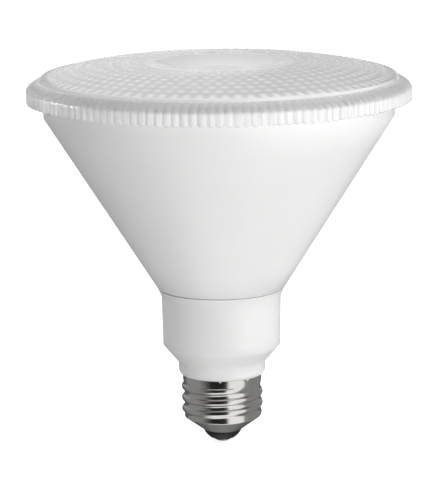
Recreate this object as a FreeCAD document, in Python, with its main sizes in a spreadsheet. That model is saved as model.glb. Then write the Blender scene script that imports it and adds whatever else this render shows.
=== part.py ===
import FreeCAD, Part
import Sketcher
import math
import os
from types import SimpleNamespace

# A PAR38 spotlight bulb with an E26 screw base.
# Millimetres. The lamp's axis is Z and the lens is at the top. The origin is
# the middle of the centre contact's lowest point. Azimuth 0 is +X.

DRIVING_SIZES = {
    # centre contact: a tack with a rounded head
    "contact_radius": 2.6,
    "contact_flat_radius": 1.6,
    "contact_crown": 0.5,
    "contact_rounding": 1.4,
    "contact_height": 1.3,
    "contact_shank_radius": 1.1,
    "contact_shank_length": 4.1,
    # moulded insulator in the bottom of the screw shell
    "contact_drop": 1.1,
    "insulator_foot_radius": 3.7,
    "insulator_bulge": 4.4,
    "insulator_drop": 2.75,
    "insulator_flange_inset": 2.75,
    "insulator_flange_height": 1.2,
    "insulator_cavity_radius": 3.4,
    # rolled screw shell
    "shell_wall": 0.3,
    "shell_rim_radius": 6.1,
    "shell_taper_height": 4.5,
    "band_step": 0.45,
    "band_height": 1.9,
    "band_flare": 0.6,
    # knuckle thread of the shell
    "thread_root_radius": 12.25,
    "thread_depth": 0.8,
    "thread_pitch": 3.629,
    "thread_turns": 2.75,
    "thread_end_angle": 3.0,
    "thread_start": 0.77,
    "thread_top_gap": 1.05,
    "thread_foot_width": 1.9,
    "thread_crest_width": 0.8,
    # collar, the driver housing
    "spigot_foot_rise": 1.2,
    "spigot_wall": 1.55,
    "wire_slot_length": 6.5,
    "neck_overhang": 0.4,
    "neck_swell": 0.9,
    "neck_rounding": 1.5,
    "neck_rounding_radius": 1.8,
    "neck_height": 4.0,
    "collar_chamfer_height": 5.8,
    "collar_height": 15.8,
    "collar_draft": 0.3,
    "collar_wall": 1.8,
    "flare_height": 2.7,
    # white housing cone
    "seam_step": 1.2,
    "cone_height": 56.0,
    "rim_band_radius": 55.7,
    "rim_band_height": 10.8,
    "cone_wall": 2.2,
    "rim_wall": 1.6,
    "ledge_width": 1.5,
    "ledge_depth": 2.2,
    "floor_thickness": 2.0,
    "floor_hole_radius": 9.0,
    "lip_wall": 1.4,
    "lip_depth": 3.0,
    # heat sink cup
    "plateau_thickness": 2.6,
    "sink_wall": 1.5,
    "sink_top_gap": 3.4,
    "wire_hole_radius": 2.4,
    # reflector bowl
    "reflector_foot_gap": 1.8,
    "reflector_waist_gap": 1.7,
    "reflector_flange_width": 4.5,
    "reflector_wall": 1.3,
    # lens
    "skirt_gap": 3.3,
    "skirt_drop": 6.1,
    "skirt_height": 4.2,
    "skirt_wall": 1.4,
    "flute_count": 144,
    "flute_depth": 0.6,
    "shoulder_inset": 0.9,
    "shoulder_rise": 1.05,
    "shoulder_top_inset": 3.4,
    "shoulder_top_rise": 2.55,
    "dome_foot_inset": 0.9,
    "dome_edge_inset": 4.6,
    "dome_edge_rise": 1.75,
    "dome_sphere_radius": 112.0,
    "recess_radius": 21.0,
    "recess_floor_radius": 12.0,
    "recess_depth": 2.6,
    "recess_rim_rise": 5.7,
    "lens_floor_rise": 0.7,
    "lens_seat_margin": 0.6,
    "lens_spigot_wall": 1.4,
    # LED board and what is on it
    "led_board_margin": 2.9,
    "led_board_thickness": 1.6,
    "thermal_pad_inset": 1.7,
    "thermal_pad_thickness": 0.25,
    "led_side": 2.8,
    "led_height": 0.8,
    "led_gap": 0.9,
    "led_count": 12,
    "connector_width": 6.4,
    "connector_depth": 5.0,
    "connector_height": 2.4,
    "board_screw_radius": 1.25,
    "board_screw_head_radius": 1.9,
    "board_screw_head_height": 1.4,
    "board_screw_length": 4.0,
    "board_screw_count": 2,
    "screw_gap": 3.2,
    "screw_inset": 4.8,
    # screws that hold the heat sink and cone to the collar
    "housing_screw_radius": 1.3,
    "housing_screw_head_radius": 2.4,
    "housing_screw_head_height": 1.4,
    "housing_screw_length": 9.0,
    "boss_radius": 2.8,
    "boss_height": 11.0,
    "boss_hole_depth": 8.0,
    # driver board in the collar
    "driver_board_thickness": 1.6,
    "driver_board_place": 2.2,
    "driver_board_inset": 1.2,
    "driver_board_height": 13.2,
    "driver_tail_inset": 2.2,
    "driver_tail_length": 21.5,
    "driver_board_top_gap": 3.4,
    "rail_reach": 3.4,
    "rail_width": 1.5,
    # parts on the driver board
    "bobbin_depth": 9.3,
    "bobbin_height": 11.0,
    "bobbin_inset": 1.15,
    "bobbin_flange": 1.2,
    "core_depth": 11.6,
    "core_height": 7.7,
    "capacitor_radius": 4.0,
    "capacitor_inset": 6.8,
    "capacitor_gap": 0.4,
    "input_capacitor_length": 12.5,
    "output_capacitor_length": 11.0,
    "inductor_radius": 3.6,
    "inductor_length": 8.0,
    "inductor_gap": 2.4,
    "film_capacitor_gap": 1.1,
    "film_capacitor_depth": 5.0,
    "film_capacitor_height": 7.5,
    "film_capacitor_rise": 1.2,
    "rectifier_side": 4.8,
    "rectifier_height": 1.6,
    "chip_width": 5.0,
    "chip_length": 4.0,
    "chip_height": 1.5,
    "chip_rise": 3.3,
    "resistor_radius": 1.3,
    "resistor_length": 6.5,
    "resistor_rise": 7.2,
    # wires
    "wire_radius": 0.6,
    "wire_bend": 1.6,
    "wire_edge_inset": 1.8,
    "wire_lap": 6.0,
    "led_wire_lap": 4.8,
    "led_wire_half_pitch": 1.3,
    "neutral_wire_radius": 0.45,
    "neutral_wire_bend": 1.1,
    "neutral_wire_drop": 0.8,
    "neutral_wire_rise": 4.4,
    # clearances
    "seat_clearance": 0.1,
    "sink_clearance": 0.3,
}


class Size:
    """A length in millimetres, kept with the formula that ties it to the sheet."""

    def __init__(self, value, formula):
        self.value = value
        self.formula = formula

    def __add__(self, other):
        other = as_size(other)
        return Size(self.value + other.value, "(%s + %s)" % (self.formula, other.formula))

    def __sub__(self, other):
        other = as_size(other)
        return Size(self.value - other.value, "(%s - %s)" % (self.formula, other.formula))

    def __mul__(self, other):
        other = as_size(other)
        return Size(self.value * other.value, "(%s * %s)" % (self.formula, other.formula))

    def __truediv__(self, other):
        other = as_size(other)
        return Size(self.value / other.value, "(%s / %s)" % (self.formula, other.formula))

    def __neg__(self):
        return Size(-self.value, "(0 - %s)" % self.formula)


def as_size(number):
    """A plain number or a size, as a size."""
    if isinstance(number, Size):
        return number
    return Size(float(number), repr(float(number)))


def root(size):
    """The square root of a size."""
    return Size(math.sqrt(size.value), "sqrt(%s)" % size.formula)


doc = FreeCAD.newDocument("par38_bulb")
sheet = doc.addObject("Spreadsheet::Sheet", "Sizes")
for row, (alias, number) in enumerate(DRIVING_SIZES.items(), start=1):
    sheet.set("A%d" % row, alias)
    sheet.set("B%d" % row, str(number))
    sheet.setAlias("B%d" % row, alias)
doc.recompute()
s = SimpleNamespace(**{alias: Size(float(sheet.get(alias)), "Sizes." + alias) for alias in DRIVING_SIZES})


full_turn = 360

# Levels along the axis
insulator_foot_level = s.contact_drop
rim_level = insulator_foot_level + s.insulator_drop
taper_top_level = rim_level + s.shell_taper_height
thread_foot_level = taper_top_level + s.thread_start
thread_top_level = thread_foot_level + s.thread_pitch * s.thread_turns
flare_foot_level = thread_top_level + s.thread_top_gap
band_foot_level = flare_foot_level + s.band_flare
shell_top_level = band_foot_level + s.band_height
spigot_foot_level = taper_top_level + s.spigot_foot_rise
neck_top_level = shell_top_level + s.neck_height
collar_foot_level = neck_top_level + s.collar_chamfer_height
collar_top_level = collar_foot_level + s.collar_height
seam_level = collar_top_level + s.flare_height
rim_band_level = seam_level + s.cone_height
lens_seat_level = rim_band_level + s.rim_band_height
floor_level = seam_level + s.floor_thickness
plateau_level = floor_level + s.plateau_thickness
led_board_level = plateau_level + s.thermal_pad_thickness
led_board_top_level = led_board_level + s.led_board_thickness
ledge_level = lens_seat_level - s.ledge_depth
flange_top_level = ledge_level + (s.ledge_depth - s.seat_clearance * 2) / 2
boss_foot_level = seam_level - s.boss_height
driver_top_level = seam_level - s.driver_board_top_gap
driver_foot_level = driver_top_level - s.driver_board_height
driver_tail_level = driver_foot_level - s.driver_tail_length

# Places on the driver board, which stands across the Y axis
board_face = s.driver_board_place - s.seat_clearance
board_back = s.driver_board_place + s.driver_board_thickness
led_wire_place = board_back + s.wire_radius + s.seat_clearance * 2

# Radii, from the LED wires outwards to the seam and the lens
led_ring_radius = led_wire_place + s.connector_depth / 2 + s.led_gap + s.led_side / 2
screw_circle_radius = led_ring_radius + s.screw_gap
collar_bore = screw_circle_radius + s.screw_inset
collar_top_radius = collar_bore + s.collar_wall
seam_radius = collar_top_radius + s.seam_step
rim_bore = s.rim_band_radius - s.rim_wall
lens_radius = s.rim_band_radius + s.skirt_gap + s.skirt_wall + s.flute_depth
valley_share = (lens_radius - s.flute_depth) / lens_radius
cone_slope = (s.rim_band_radius - seam_radius) / s.cone_height
sink_inset = s.cone_wall + s.sink_clearance + s.sink_wall

# Radii, from the thread's root inwards and outwards
spigot_radius = s.thread_root_radius - s.shell_wall - s.seat_clearance * 2
neck_bore = spigot_radius - s.spigot_wall
band_radius = s.thread_root_radius + s.band_step
neck_foot_radius = band_radius + s.neck_overhang
neck_radius = neck_foot_radius + s.neck_swell
tail_half_width = neck_bore - s.driver_tail_inset
wire_place = tail_half_width - s.wire_edge_inset
taper_run = s.thread_root_radius - s.shell_rim_radius
taper_length = root(taper_run * taper_run + s.shell_taper_height * s.shell_taper_height)
taper_rise = s.shell_wall * taper_length / taper_run
taper_slope = s.shell_taper_height / taper_run


def cone_radius(level, inset):
    """The housing's outer radius at a level on the cone, less an inset measured across."""
    return seam_radius + (level - seam_level) * cone_slope - inset


def cone_level(radius, inset):
    """The level at which the cone less its inset has the radius."""
    return seam_level + (radius + inset - seam_radius) / cone_slope


def origin_plane(body, role):
    """A plane or axis of the body's own origin."""
    return next(feature for feature in body.Origin.OriginFeatures if feature.Role == role)


def tie(target, path, size):
    """Binds one property of an object to the sheet."""
    target.setExpression(path, as_size(size).formula)


def pin_coordinate(sketch, kind, axis, place, size):
    """Holds one point of a sketch at its distance from the sketch's origin."""
    geometry, end = place
    if abs(size.value) < 1e-9:
        sketch.addConstraint(Sketcher.Constraint("PointOnObject", geometry, end, axis))
    elif size.value > 0:
        number = sketch.addConstraint(Sketcher.Constraint(kind, -1, 1, geometry, end, size.value))
        tie(sketch, "Constraints[%d]" % number, size)
    else:
        number = sketch.addConstraint(Sketcher.Constraint(kind, geometry, end, -1, 1, -size.value))
        tie(sketch, "Constraints[%d]" % number, -size)


def attach(sketch, body, role, offset=None):
    """Lays a sketch on one of its own body's origin planes, lifted by the offset."""
    sketch.AttachmentSupport = [(origin_plane(body, role), "")]
    sketch.MapMode = "FlatFace"
    if offset is not None:
        sketch.AttachmentOffset = FreeCAD.Placement(FreeCAD.Vector(0, 0, offset.value), FreeCAD.Rotation())
        tie(sketch, "AttachmentOffset.Base.z", offset)


def outline(body, name, role, corners, offset=None):
    """A closed sketch through the corners.

    A corner is (x, y), or (x, y, radius) where the edge that leaves it is an
    arc. A positive radius bulges to the right of the way round, a negative one
    to the left.
    """
    sketch = body.newObject("Sketcher::SketchObject", name)
    attach(sketch, body, role, offset)
    ends = []
    count = len(corners)
    for index, corner in enumerate(corners):
        following = corners[(index + 1) % count]
        start = FreeCAD.Vector(as_size(corner[0]).value, as_size(corner[1]).value, 0)
        finish = FreeCAD.Vector(as_size(following[0]).value, as_size(following[1]).value, 0)
        if len(corner) == 2:
            geometry = sketch.addGeometry(Part.LineSegment(start, finish), False)
            ends.append(((geometry, 1), (geometry, 2)))
            continue
        radius = as_size(corner[2])
        chord = finish - start
        to_right = FreeCAD.Vector(chord.y, -chord.x, 0).normalize()
        side = 1 if radius.value > 0 else -1
        reach = math.sqrt(radius.value ** 2 - (chord.Length / 2) ** 2)
        centre = (start + finish) / 2 - to_right * (side * reach)
        crown = centre + to_right * (side * abs(radius.value))
        arc = Part.Arc(start, crown, finish)
        geometry = sketch.addGeometry(arc, False)
        forward = sketch.getPoint(geometry, 1).distanceToPoint(start) < 1e-6
        ends.append(((geometry, 1), (geometry, 2)) if forward else ((geometry, 2), (geometry, 1)))
        number = sketch.addConstraint(Sketcher.Constraint("Radius", geometry, abs(radius.value)))
        tie(sketch, "Constraints[%d]" % number, radius if side > 0 else -radius)
    for index, corner in enumerate(corners):
        start = ends[index][0]
        arrival = ends[index - 1][1]
        sketch.addConstraint(Sketcher.Constraint("Coincident", arrival[0], arrival[1], start[0], start[1]))
        pin_coordinate(sketch, "DistanceX", -2, start, as_size(corner[0]))
        pin_coordinate(sketch, "DistanceY", -1, start, as_size(corner[1]))
    return sketch


def round_holes(body, name, circles, offset):
    """A level sketch of circles, each (x, y, radius)."""
    sketch = body.newObject("Sketcher::SketchObject", name)
    attach(sketch, body, "XY_Plane", offset)
    for x, y, radius in circles:
        centre = FreeCAD.Vector(as_size(x).value, as_size(y).value, 0)
        geometry = sketch.addGeometry(Part.Circle(centre, FreeCAD.Vector(0, 0, 1), radius.value), False)
        number = sketch.addConstraint(Sketcher.Constraint("Radius", geometry, radius.value))
        tie(sketch, "Constraints[%d]" % number, radius)
        pin_coordinate(sketch, "DistanceX", -2, (geometry, 3), as_size(x))
        pin_coordinate(sketch, "DistanceY", -1, (geometry, 3), as_size(y))
    return sketch


def new_body(label):
    """An empty body that carries the sub-part's name."""
    body = doc.addObject("PartDesign::Body", label)
    body.Label = label
    return body


def turned(label, corners):
    """A body turned about the lamp's axis from its half section."""
    body = new_body(label)
    sketch = outline(body, label + "_section", "XZ_Plane", corners)
    feature = body.newObject("PartDesign::Revolution", label + "_turned")
    feature.Profile = sketch
    feature.ReferenceAxis = (sketch, ["V_Axis"])
    feature.Angle = 360
    doc.recompute()
    return body


def raised(body, name, sketch, length, downwards=False):
    """A pad of the sketch, upwards unless it is said to go down."""
    feature = body.newObject("PartDesign::Pad", name)
    feature.Profile = sketch
    feature.Length = length.value
    tie(feature, "Length", length)
    feature.Reversed = downwards
    doc.recompute()
    return feature


def sunk(body, name, sketch, depth):
    """A pocket that goes down from its sketch, turned round if it would cut nothing."""
    before = body.Shape.Volume
    feature = body.newObject("PartDesign::Pocket", name)
    feature.Profile = sketch
    feature.Length = depth.value
    tie(feature, "Length", depth)
    doc.recompute()
    if before - body.Shape.Volume < 1e-6:
        feature.Reversed = True
        doc.recompute()
    if before - body.Shape.Volume < 1e-6:
        raise RuntimeError(name + " cuts nothing")
    return feature


def repeated_round(body, name, originals, count):
    """The features repeated about the lamp's axis."""
    feature = body.newObject("PartDesign::PolarPattern", name)
    feature.Originals = originals
    feature.Axis = (origin_plane(body, "Z_Axis"), [""])
    feature.Angle = 360
    feature.Occurrences = int(count.value)
    tie(feature, "Occurrences", count)
    body.Tip = feature
    doc.recompute()
    return feature


def mirrored(body, name, originals, role):
    """The features mirrored over one of the body's origin planes."""
    feature = body.newObject("PartDesign::Mirrored", name)
    feature.Originals = originals
    feature.MirrorPlane = (origin_plane(body, role), [""])
    body.Tip = feature
    doc.recompute()
    return feature


def place(thing, x, y, level, turn=0.0):
    """Puts a primitive at its place, each coordinate tied to the sheet."""
    spot = FreeCAD.Vector(as_size(x).value, as_size(y).value, as_size(level).value)
    thing.Placement = FreeCAD.Placement(spot, FreeCAD.Rotation(FreeCAD.Vector(0, 0, 1), turn))
    tie(thing, "Placement.Base.x", x)
    tie(thing, "Placement.Base.y", y)
    tie(thing, "Placement.Base.z", level)
    return thing


def block(name, width, depth, height, x, y, level):
    """A box that stands on its level, with the middle of its near face at x, y."""
    box = doc.addObject("Part::Box", name)
    for path, size in (("Length", width), ("Width", depth), ("Height", height)):
        setattr(box, path, size.value)
        tie(box, path, size)
    return place(box, as_size(x) - width / 2, y, level)


def rod(name, radius, length, x, y, level):
    """An upright cylinder that stands on its level."""
    cylinder = doc.addObject("Part::Cylinder", name)
    cylinder.Radius = radius.value
    cylinder.Height = length.value
    tie(cylinder, "Radius", radius)
    tie(cylinder, "Height", length)
    return place(cylinder, x, y, level)


def fused(label, pieces):
    """Primitives joined into one piece."""
    feature = doc.addObject("Part::MultiFuse", label)
    feature.Label = label
    feature.Shapes = pieces
    doc.recompute()
    return feature


def grouped(label, pieces):
    """Like pieces kept as separate solids of one node."""
    feature = doc.addObject("Part::Compound", label)
    feature.Label = label
    feature.Links = pieces
    doc.recompute()
    return feature


# Base: contact, insulator and screw shell

def make_centre_contact():
    """A tack with a rounded head, pressed up through the insulator."""
    shank_top = s.contact_height + s.contact_shank_length
    return turned("centre_contact", [
        (0, 0),
        (s.contact_flat_radius, 0, s.contact_rounding),
        (s.contact_radius, s.contact_crown),
        (s.contact_radius, s.contact_height),
        (s.contact_shank_radius, s.contact_height),
        (s.contact_shank_radius, shank_top),
        (0, shank_top),
    ])


def make_base_insulator():
    """A plug that bulges under the shell's rim and carries the shell's taper on its flange."""
    hole = s.contact_shank_radius + s.seat_clearance / 2
    seat = s.contact_radius + s.seat_clearance * 2
    waist = s.shell_rim_radius - s.seat_clearance
    flange = s.thread_root_radius - s.insulator_flange_inset
    flange_foot = rim_level + taper_rise + s.seat_clearance * 2
    flange_edge = flange_foot + (flange - waist) * taper_slope
    flange_top = flange_edge + s.insulator_flange_height
    shank_top = s.contact_height + s.contact_shank_length
    return turned("base_insulator", [
        (hole, s.contact_height),
        (seat, s.contact_height),
        (seat, insulator_foot_level),
        (s.insulator_foot_radius, insulator_foot_level, s.insulator_bulge),
        (waist, rim_level),
        (waist, flange_foot),
        (flange, flange_edge),
        (flange, flange_top),
        (flange - s.spigot_wall, flange_top),
        (s.insulator_cavity_radius, shank_top),
        (hole, shank_top),
    ])


def thread_ridge(body, name, foot_radius, crest_radius, level):
    """The section of the rolled ridge, rooted a little behind the surface it rises from."""
    half_foot = s.thread_foot_width / 2
    half_crest = s.thread_crest_width / 2
    heel = foot_radius - s.shell_wall / 2
    return outline(body, name, "XZ_Plane", [
        (heel, level - half_foot),
        (foot_radius, level - half_foot),
        (crest_radius, level - half_crest),
        (crest_radius, level + half_crest),
        (foot_radius, level + half_foot),
        (heel, level + half_foot),
    ])


def wound(body, kind, name, sketch, height):
    """A right-hand helix of the sketch about the lamp's axis."""
    feature = body.newObject("PartDesign::" + kind, name)
    feature.Profile = sketch
    feature.ReferenceAxis = (sketch, ["V_Axis"])
    feature.Mode = 0
    feature.Pitch = s.thread_pitch.value
    feature.Height = height.value
    tie(feature, "Pitch", s.thread_pitch)
    tie(feature, "Height", height)
    feature.Angle = 0
    feature.Growth = 0
    feature.LeftHanded = False
    feature.Reversed = False
    body.Tip = feature
    doc.recompute()
    return feature


def make_screw_shell():
    """A thin shell: rim, taper, rolled knuckle thread and a plain band that grips the neck."""
    outer = s.thread_root_radius
    inner = outer - s.shell_wall
    crest = outer + s.thread_depth
    body = turned("screw_shell", [
        (s.shell_rim_radius, rim_level),
        (outer, taper_top_level),
        (outer, flare_foot_level),
        (band_radius, band_foot_level),
        (band_radius, shell_top_level),
        (band_radius - s.shell_wall, shell_top_level),
        (band_radius - s.shell_wall, band_foot_level),
        (inner, flare_foot_level),
        (inner, taper_top_level + taper_rise - s.shell_wall * taper_slope),
        (s.shell_rim_radius, rim_level + taper_rise),
    ])
    height = thread_top_level - thread_foot_level
    ridge = thread_ridge(body, "thread_ridge", outer, crest, thread_foot_level)
    wound(body, "AdditiveHelix", "thread", ridge, height)

    # the hollow behind the thread starts after it and stops before it, which closes both of its ends
    end_rise = s.thread_pitch * s.thread_end_angle / full_turn
    hollow = thread_ridge(body, "thread_hollow", inner, crest - s.shell_wall, thread_foot_level + end_rise)
    upright = FreeCAD.Vector(0, 1, 0)
    hollow.AttachmentOffset = FreeCAD.Placement(FreeCAD.Vector(), FreeCAD.Rotation(upright, s.thread_end_angle.value))
    tie(hollow, "AttachmentOffset.Rotation.Angle", s.thread_end_angle)
    wound(body, "SubtractiveHelix", "thread_inside", hollow, height - end_rise * 2)
    return body


# Collar, cone and heat sink

def make_collar():
    """The driver housing: spigot, neck, chamfer and a cup with bosses and board rails."""
    foot_radius = collar_top_radius - s.collar_draft
    bore_rise = (collar_bore - neck_bore) * s.collar_chamfer_height / (foot_radius - neck_radius)
    bore_foot = neck_top_level - s.collar_wall / 2
    body = turned("collar", [
        (neck_bore, spigot_foot_level),
        (spigot_radius, spigot_foot_level),
        (spigot_radius, shell_top_level),
        (neck_foot_radius, shell_top_level, s.neck_rounding_radius),
        (neck_radius, shell_top_level + s.neck_rounding),
        (neck_radius, neck_top_level),
        (foot_radius, collar_foot_level),
        (collar_top_radius, collar_top_level),
        (seam_radius, seam_level),
        (collar_bore, seam_level),
        (collar_bore, bore_foot + bore_rise),
        (neck_bore, bore_foot),
    ])

    # two screw bosses, each joined to the wall below the cone's lip
    in_wall = collar_bore + s.collar_wall / 2
    tab_edge = root(in_wall * in_wall - s.boss_radius * s.boss_radius)
    tab_height = s.boss_height - s.lip_depth - s.seat_clearance * 2
    tab = outline(body, "boss_tab", "XY_Plane", [
        (-s.boss_radius, screw_circle_radius),
        (s.boss_radius, screw_circle_radius),
        (s.boss_radius, tab_edge),
        (-s.boss_radius, tab_edge),
    ], boss_foot_level)
    tab_pad = raised(body, "boss_tab_pad", tab, tab_height)
    post = round_holes(body, "boss", [(0, screw_circle_radius, s.boss_radius)], boss_foot_level)
    post_pad = raised(body, "boss_pad", post, s.boss_height)
    hole_radius = s.housing_screw_radius + s.seat_clearance / 2
    hole = round_holes(body, "boss_hole", [(0, screw_circle_radius, hole_radius)], seam_level)
    hole_pocket = sunk(body, "boss_hole_pocket", hole, s.boss_hole_depth)
    mirrored(body, "both_bosses", [tab_pad, post_pad, hole_pocket], "XZ_Plane")

    # a pair of rails on each side holds the driver board
    rails = []
    rail_edges = (
        ("front_rail", s.driver_board_place - s.seat_clearance - s.rail_width),
        ("back_rail", board_back + s.seat_clearance),
    )
    for name, near in rail_edges:
        far = near + s.rail_width
        rail = outline(body, name, "XY_Plane", [
            (collar_bore - s.rail_reach, near),
            (root(in_wall * in_wall - near * near), near),
            (root(in_wall * in_wall - far * far), far),
            (collar_bore - s.rail_reach, far),
        ], driver_foot_level)
        rails.append(raised(body, name + "_pad", rail, s.driver_board_height - s.seat_clearance * 4))
    mirrored(body, "both_rails", rails, "YZ_Plane")

    # a slot down the outside of the spigot for the neutral wire
    slot_floor = spigot_radius - s.neutral_wire_radius * 2 - s.seat_clearance
    slot_half = s.neutral_wire_radius + s.seat_clearance
    slot = outline(body, "wire_slot", "XY_Plane", [
        (-slot_floor, -slot_half),
        (-(spigot_radius + s.seat_clearance), -slot_half),
        (-(spigot_radius + s.seat_clearance), slot_half),
        (-slot_floor, slot_half),
    ], spigot_foot_level + s.wire_slot_length)
    sunk(body, "wire_slot_pocket", slot, s.wire_slot_length)
    return body


def make_housing_cone():
    """The white shell: lip, floor, straight cone and the upright band that carries the lens."""
    ledge_bore = rim_bore - s.ledge_width
    lip_outer = collar_bore - s.seat_clearance * 2
    lip_inner = lip_outer - s.lip_wall
    lip_foot = seam_level - s.lip_depth
    body = turned("housing_cone", [
        (s.floor_hole_radius, seam_level),
        (lip_inner, seam_level),
        (lip_inner, lip_foot),
        (lip_outer, lip_foot),
        (lip_outer, seam_level),
        (seam_radius, seam_level),
        (s.rim_band_radius, rim_band_level),
        (s.rim_band_radius, lens_seat_level),
        (rim_bore, lens_seat_level),
        (rim_bore, ledge_level),
        (ledge_bore, ledge_level),
        (ledge_bore, cone_level(ledge_bore, s.cone_wall)),
        (cone_radius(floor_level, s.cone_wall), floor_level),
        (s.floor_hole_radius, floor_level),
    ])
    clearance_hole = s.housing_screw_radius + s.seat_clearance
    holes = round_holes(body, "screw_hole", [(0, screw_circle_radius, clearance_hole)], floor_level)
    pocket = sunk(body, "screw_hole_pocket", holes, s.floor_thickness)
    mirrored(body, "both_screw_holes", [pocket], "XZ_Plane")
    return body


def wire_hole(body, top_level, depth):
    """The hole that lets the LED wires up through a plate."""
    hole = round_holes(body, "wire_hole", [(0, led_wire_place, s.wire_hole_radius)], top_level)
    return sunk(body, "wire_hole_pocket", hole, depth)


def make_heat_sink():
    """An aluminium cup that lines the cone, with a plateau for the LED board."""
    inset = s.cone_wall + s.sink_clearance
    top = rim_band_level - s.sink_top_gap
    body = turned("heat_sink", [
        (0, floor_level),
        (cone_radius(floor_level, inset), floor_level),
        (cone_radius(top, inset), top),
        (cone_radius(top, sink_inset), top),
        (cone_radius(plateau_level, sink_inset), plateau_level),
        (0, plateau_level),
    ])
    wire_hole(body, plateau_level, s.plateau_thickness)
    head_hole = s.housing_screw_head_radius + s.seat_clearance
    seat = round_holes(body, "head_seat", [(0, screw_circle_radius, head_hole)], plateau_level)
    seat_pocket = sunk(body, "head_seat_pocket", seat, s.housing_screw_head_height + s.seat_clearance)
    shank_hole = s.housing_screw_radius + s.seat_clearance
    shank = round_holes(body, "shank_hole", [(0, screw_circle_radius, shank_hole)], plateau_level)
    shank_pocket = sunk(body, "shank_hole_pocket", shank, s.plateau_thickness)
    mirrored(body, "both_head_seats", [seat_pocket, shank_pocket], "XZ_Plane")
    tapped = s.board_screw_radius + s.seat_clearance / 2
    bore = round_holes(body, "board_screw_hole", [(screw_circle_radius, 0, tapped)], plateau_level)
    bore_pocket = sunk(body, "board_screw_hole_pocket", bore, s.plateau_thickness)
    repeated_round(body, "board_screw_holes", [bore_pocket], s.board_screw_count)
    return body


def make_reflector():
    """A bright bowl that stands on the plateau and hangs its flange on the cone's ledge."""
    foot = cone_radius(plateau_level, sink_inset + s.reflector_foot_gap + s.reflector_wall)
    waist_level = (plateau_level + ledge_level) / 2
    waist = cone_radius(waist_level, sink_inset + s.reflector_waist_gap + s.reflector_wall)
    flange_radius = rim_bore - s.seat_clearance * 2
    mouth = flange_radius - s.reflector_flange_width
    return turned("reflector", [
        (foot, plateau_level),
        (foot + s.reflector_wall, plateau_level),
        (waist + s.reflector_wall, waist_level),
        (mouth + s.reflector_wall, ledge_level),
        (flange_radius, ledge_level),
        (flange_radius, flange_top_level),
        (mouth, flange_top_level),
        (waist, waist_level),
    ])


# Lens

def flute_outline(name, tip_radius, level):
    """A closed zigzag round the axis, with one tip and one valley for each flute.

    A valley keeps its share of the tip's radius on every level, so that the
    facets between two outlines are flat.
    """
    count = int(s.flute_count.value)
    step = math.pi / count
    points = []
    for index in range(2 * count):
        radius = (tip_radius if index % 2 == 0 else tip_radius * valley_share).value
        angle = index * step
        points.append(FreeCAD.Vector(radius * math.cos(angle), radius * math.sin(angle), level.value))
    ring = doc.addObject("Part::Feature", name)
    ring.Shape = Part.makePolygon(points + points[:1])
    return ring


def make_lens():
    """A clear disc: fluted skirt and shoulder, low dome with a recess, seat and locating ring."""
    skirt_foot = lens_seat_level - s.skirt_drop
    skirt_top = skirt_foot + s.skirt_height
    shoulder_top = lens_radius - s.shoulder_top_inset
    shoulder_top_level = skirt_top + s.shoulder_top_rise
    rings = [
        flute_outline("flutes_foot", lens_radius, skirt_foot),
        flute_outline("flutes_skirt_top", lens_radius, skirt_top),
        flute_outline("flutes_shoulder", lens_radius - s.shoulder_inset, skirt_top + s.shoulder_rise),
        flute_outline("flutes_end", shoulder_top, shoulder_top_level),
    ]
    fluted = doc.addObject("Part::Loft", "fluted_rim")
    fluted.Sections = rings
    fluted.Solid = True
    fluted.Ruled = True
    doc.recompute()

    # the dome stands on the fluted rim and is hollowed by the recess
    dome_edge_level = lens_seat_level + s.dome_edge_rise
    rim_level_of_recess = lens_seat_level + s.recess_rim_rise
    recess_floor_level = rim_level_of_recess - s.recess_depth
    dome = turned("lens_dome", [
        (0, shoulder_top_level),
        (shoulder_top - s.dome_foot_inset, shoulder_top_level),
        (lens_radius - s.dome_edge_inset, dome_edge_level, s.dome_sphere_radius),
        (s.recess_radius, rim_level_of_recess),
        (s.recess_floor_radius, recess_floor_level),
        (0, recess_floor_level),
    ])

    # the hollow under the lens, with the seat and the ring that holds the reflector's flange
    skirt_bore = s.rim_band_radius + s.skirt_gap
    seat_outer = s.rim_band_radius + s.lens_seat_margin
    ring_outer = rim_bore - s.seat_clearance * 2
    ring_inner = ring_outer - s.lens_spigot_wall
    lens_floor_level = lens_seat_level + s.lens_floor_rise
    ring_foot = flange_top_level + s.seat_clearance * 2
    below = rim_band_level
    hollow = turned("lens_hollow", [
        (0, below),
        (skirt_bore, below),
        (skirt_bore, lens_seat_level - (skirt_bore - seat_outer)),
        (seat_outer, lens_seat_level),
        (ring_outer, lens_seat_level),
        (ring_outer, ring_foot),
        (ring_inner, ring_foot),
        (ring_inner, lens_floor_level),
        (0, lens_floor_level),
    ])
    blank = doc.addObject("Part::Fuse", "lens_blank")
    blank.Base = fluted
    blank.Tool = dome
    lens = doc.addObject("Part::Cut", "lens")
    lens.Label = "lens"
    lens.Base = blank
    lens.Tool = hollow
    doc.recompute()
    return lens


# LED board

def make_thermal_pad():
    """A thin soft disc under the middle of the LED board."""
    radius = screw_circle_radius - s.thermal_pad_inset
    body = turned("thermal_pad", [
        (0, plateau_level),
        (radius, plateau_level),
        (radius, led_board_level),
        (0, led_board_level),
    ])
    wire_hole(body, led_board_level, s.thermal_pad_thickness)
    return body


def make_led_board():
    """A round metal-core board with a wire hole and screw holes."""
    edge = screw_circle_radius + s.led_board_margin
    body = turned("led_board", [
        (0, led_board_level),
        (edge, led_board_level),
        (edge, led_board_top_level),
        (0, led_board_top_level),
    ])
    wire_hole(body, led_board_top_level, s.led_board_thickness)
    radius = s.board_screw_radius + s.seat_clearance
    hole = round_holes(body, "led_board_hole", [(screw_circle_radius, 0, radius)], led_board_top_level)
    pocket = sunk(body, "led_board_hole_pocket", hole, s.led_board_thickness)
    repeated_round(body, "led_board_holes", [pocket], s.board_screw_count)
    return body


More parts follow.
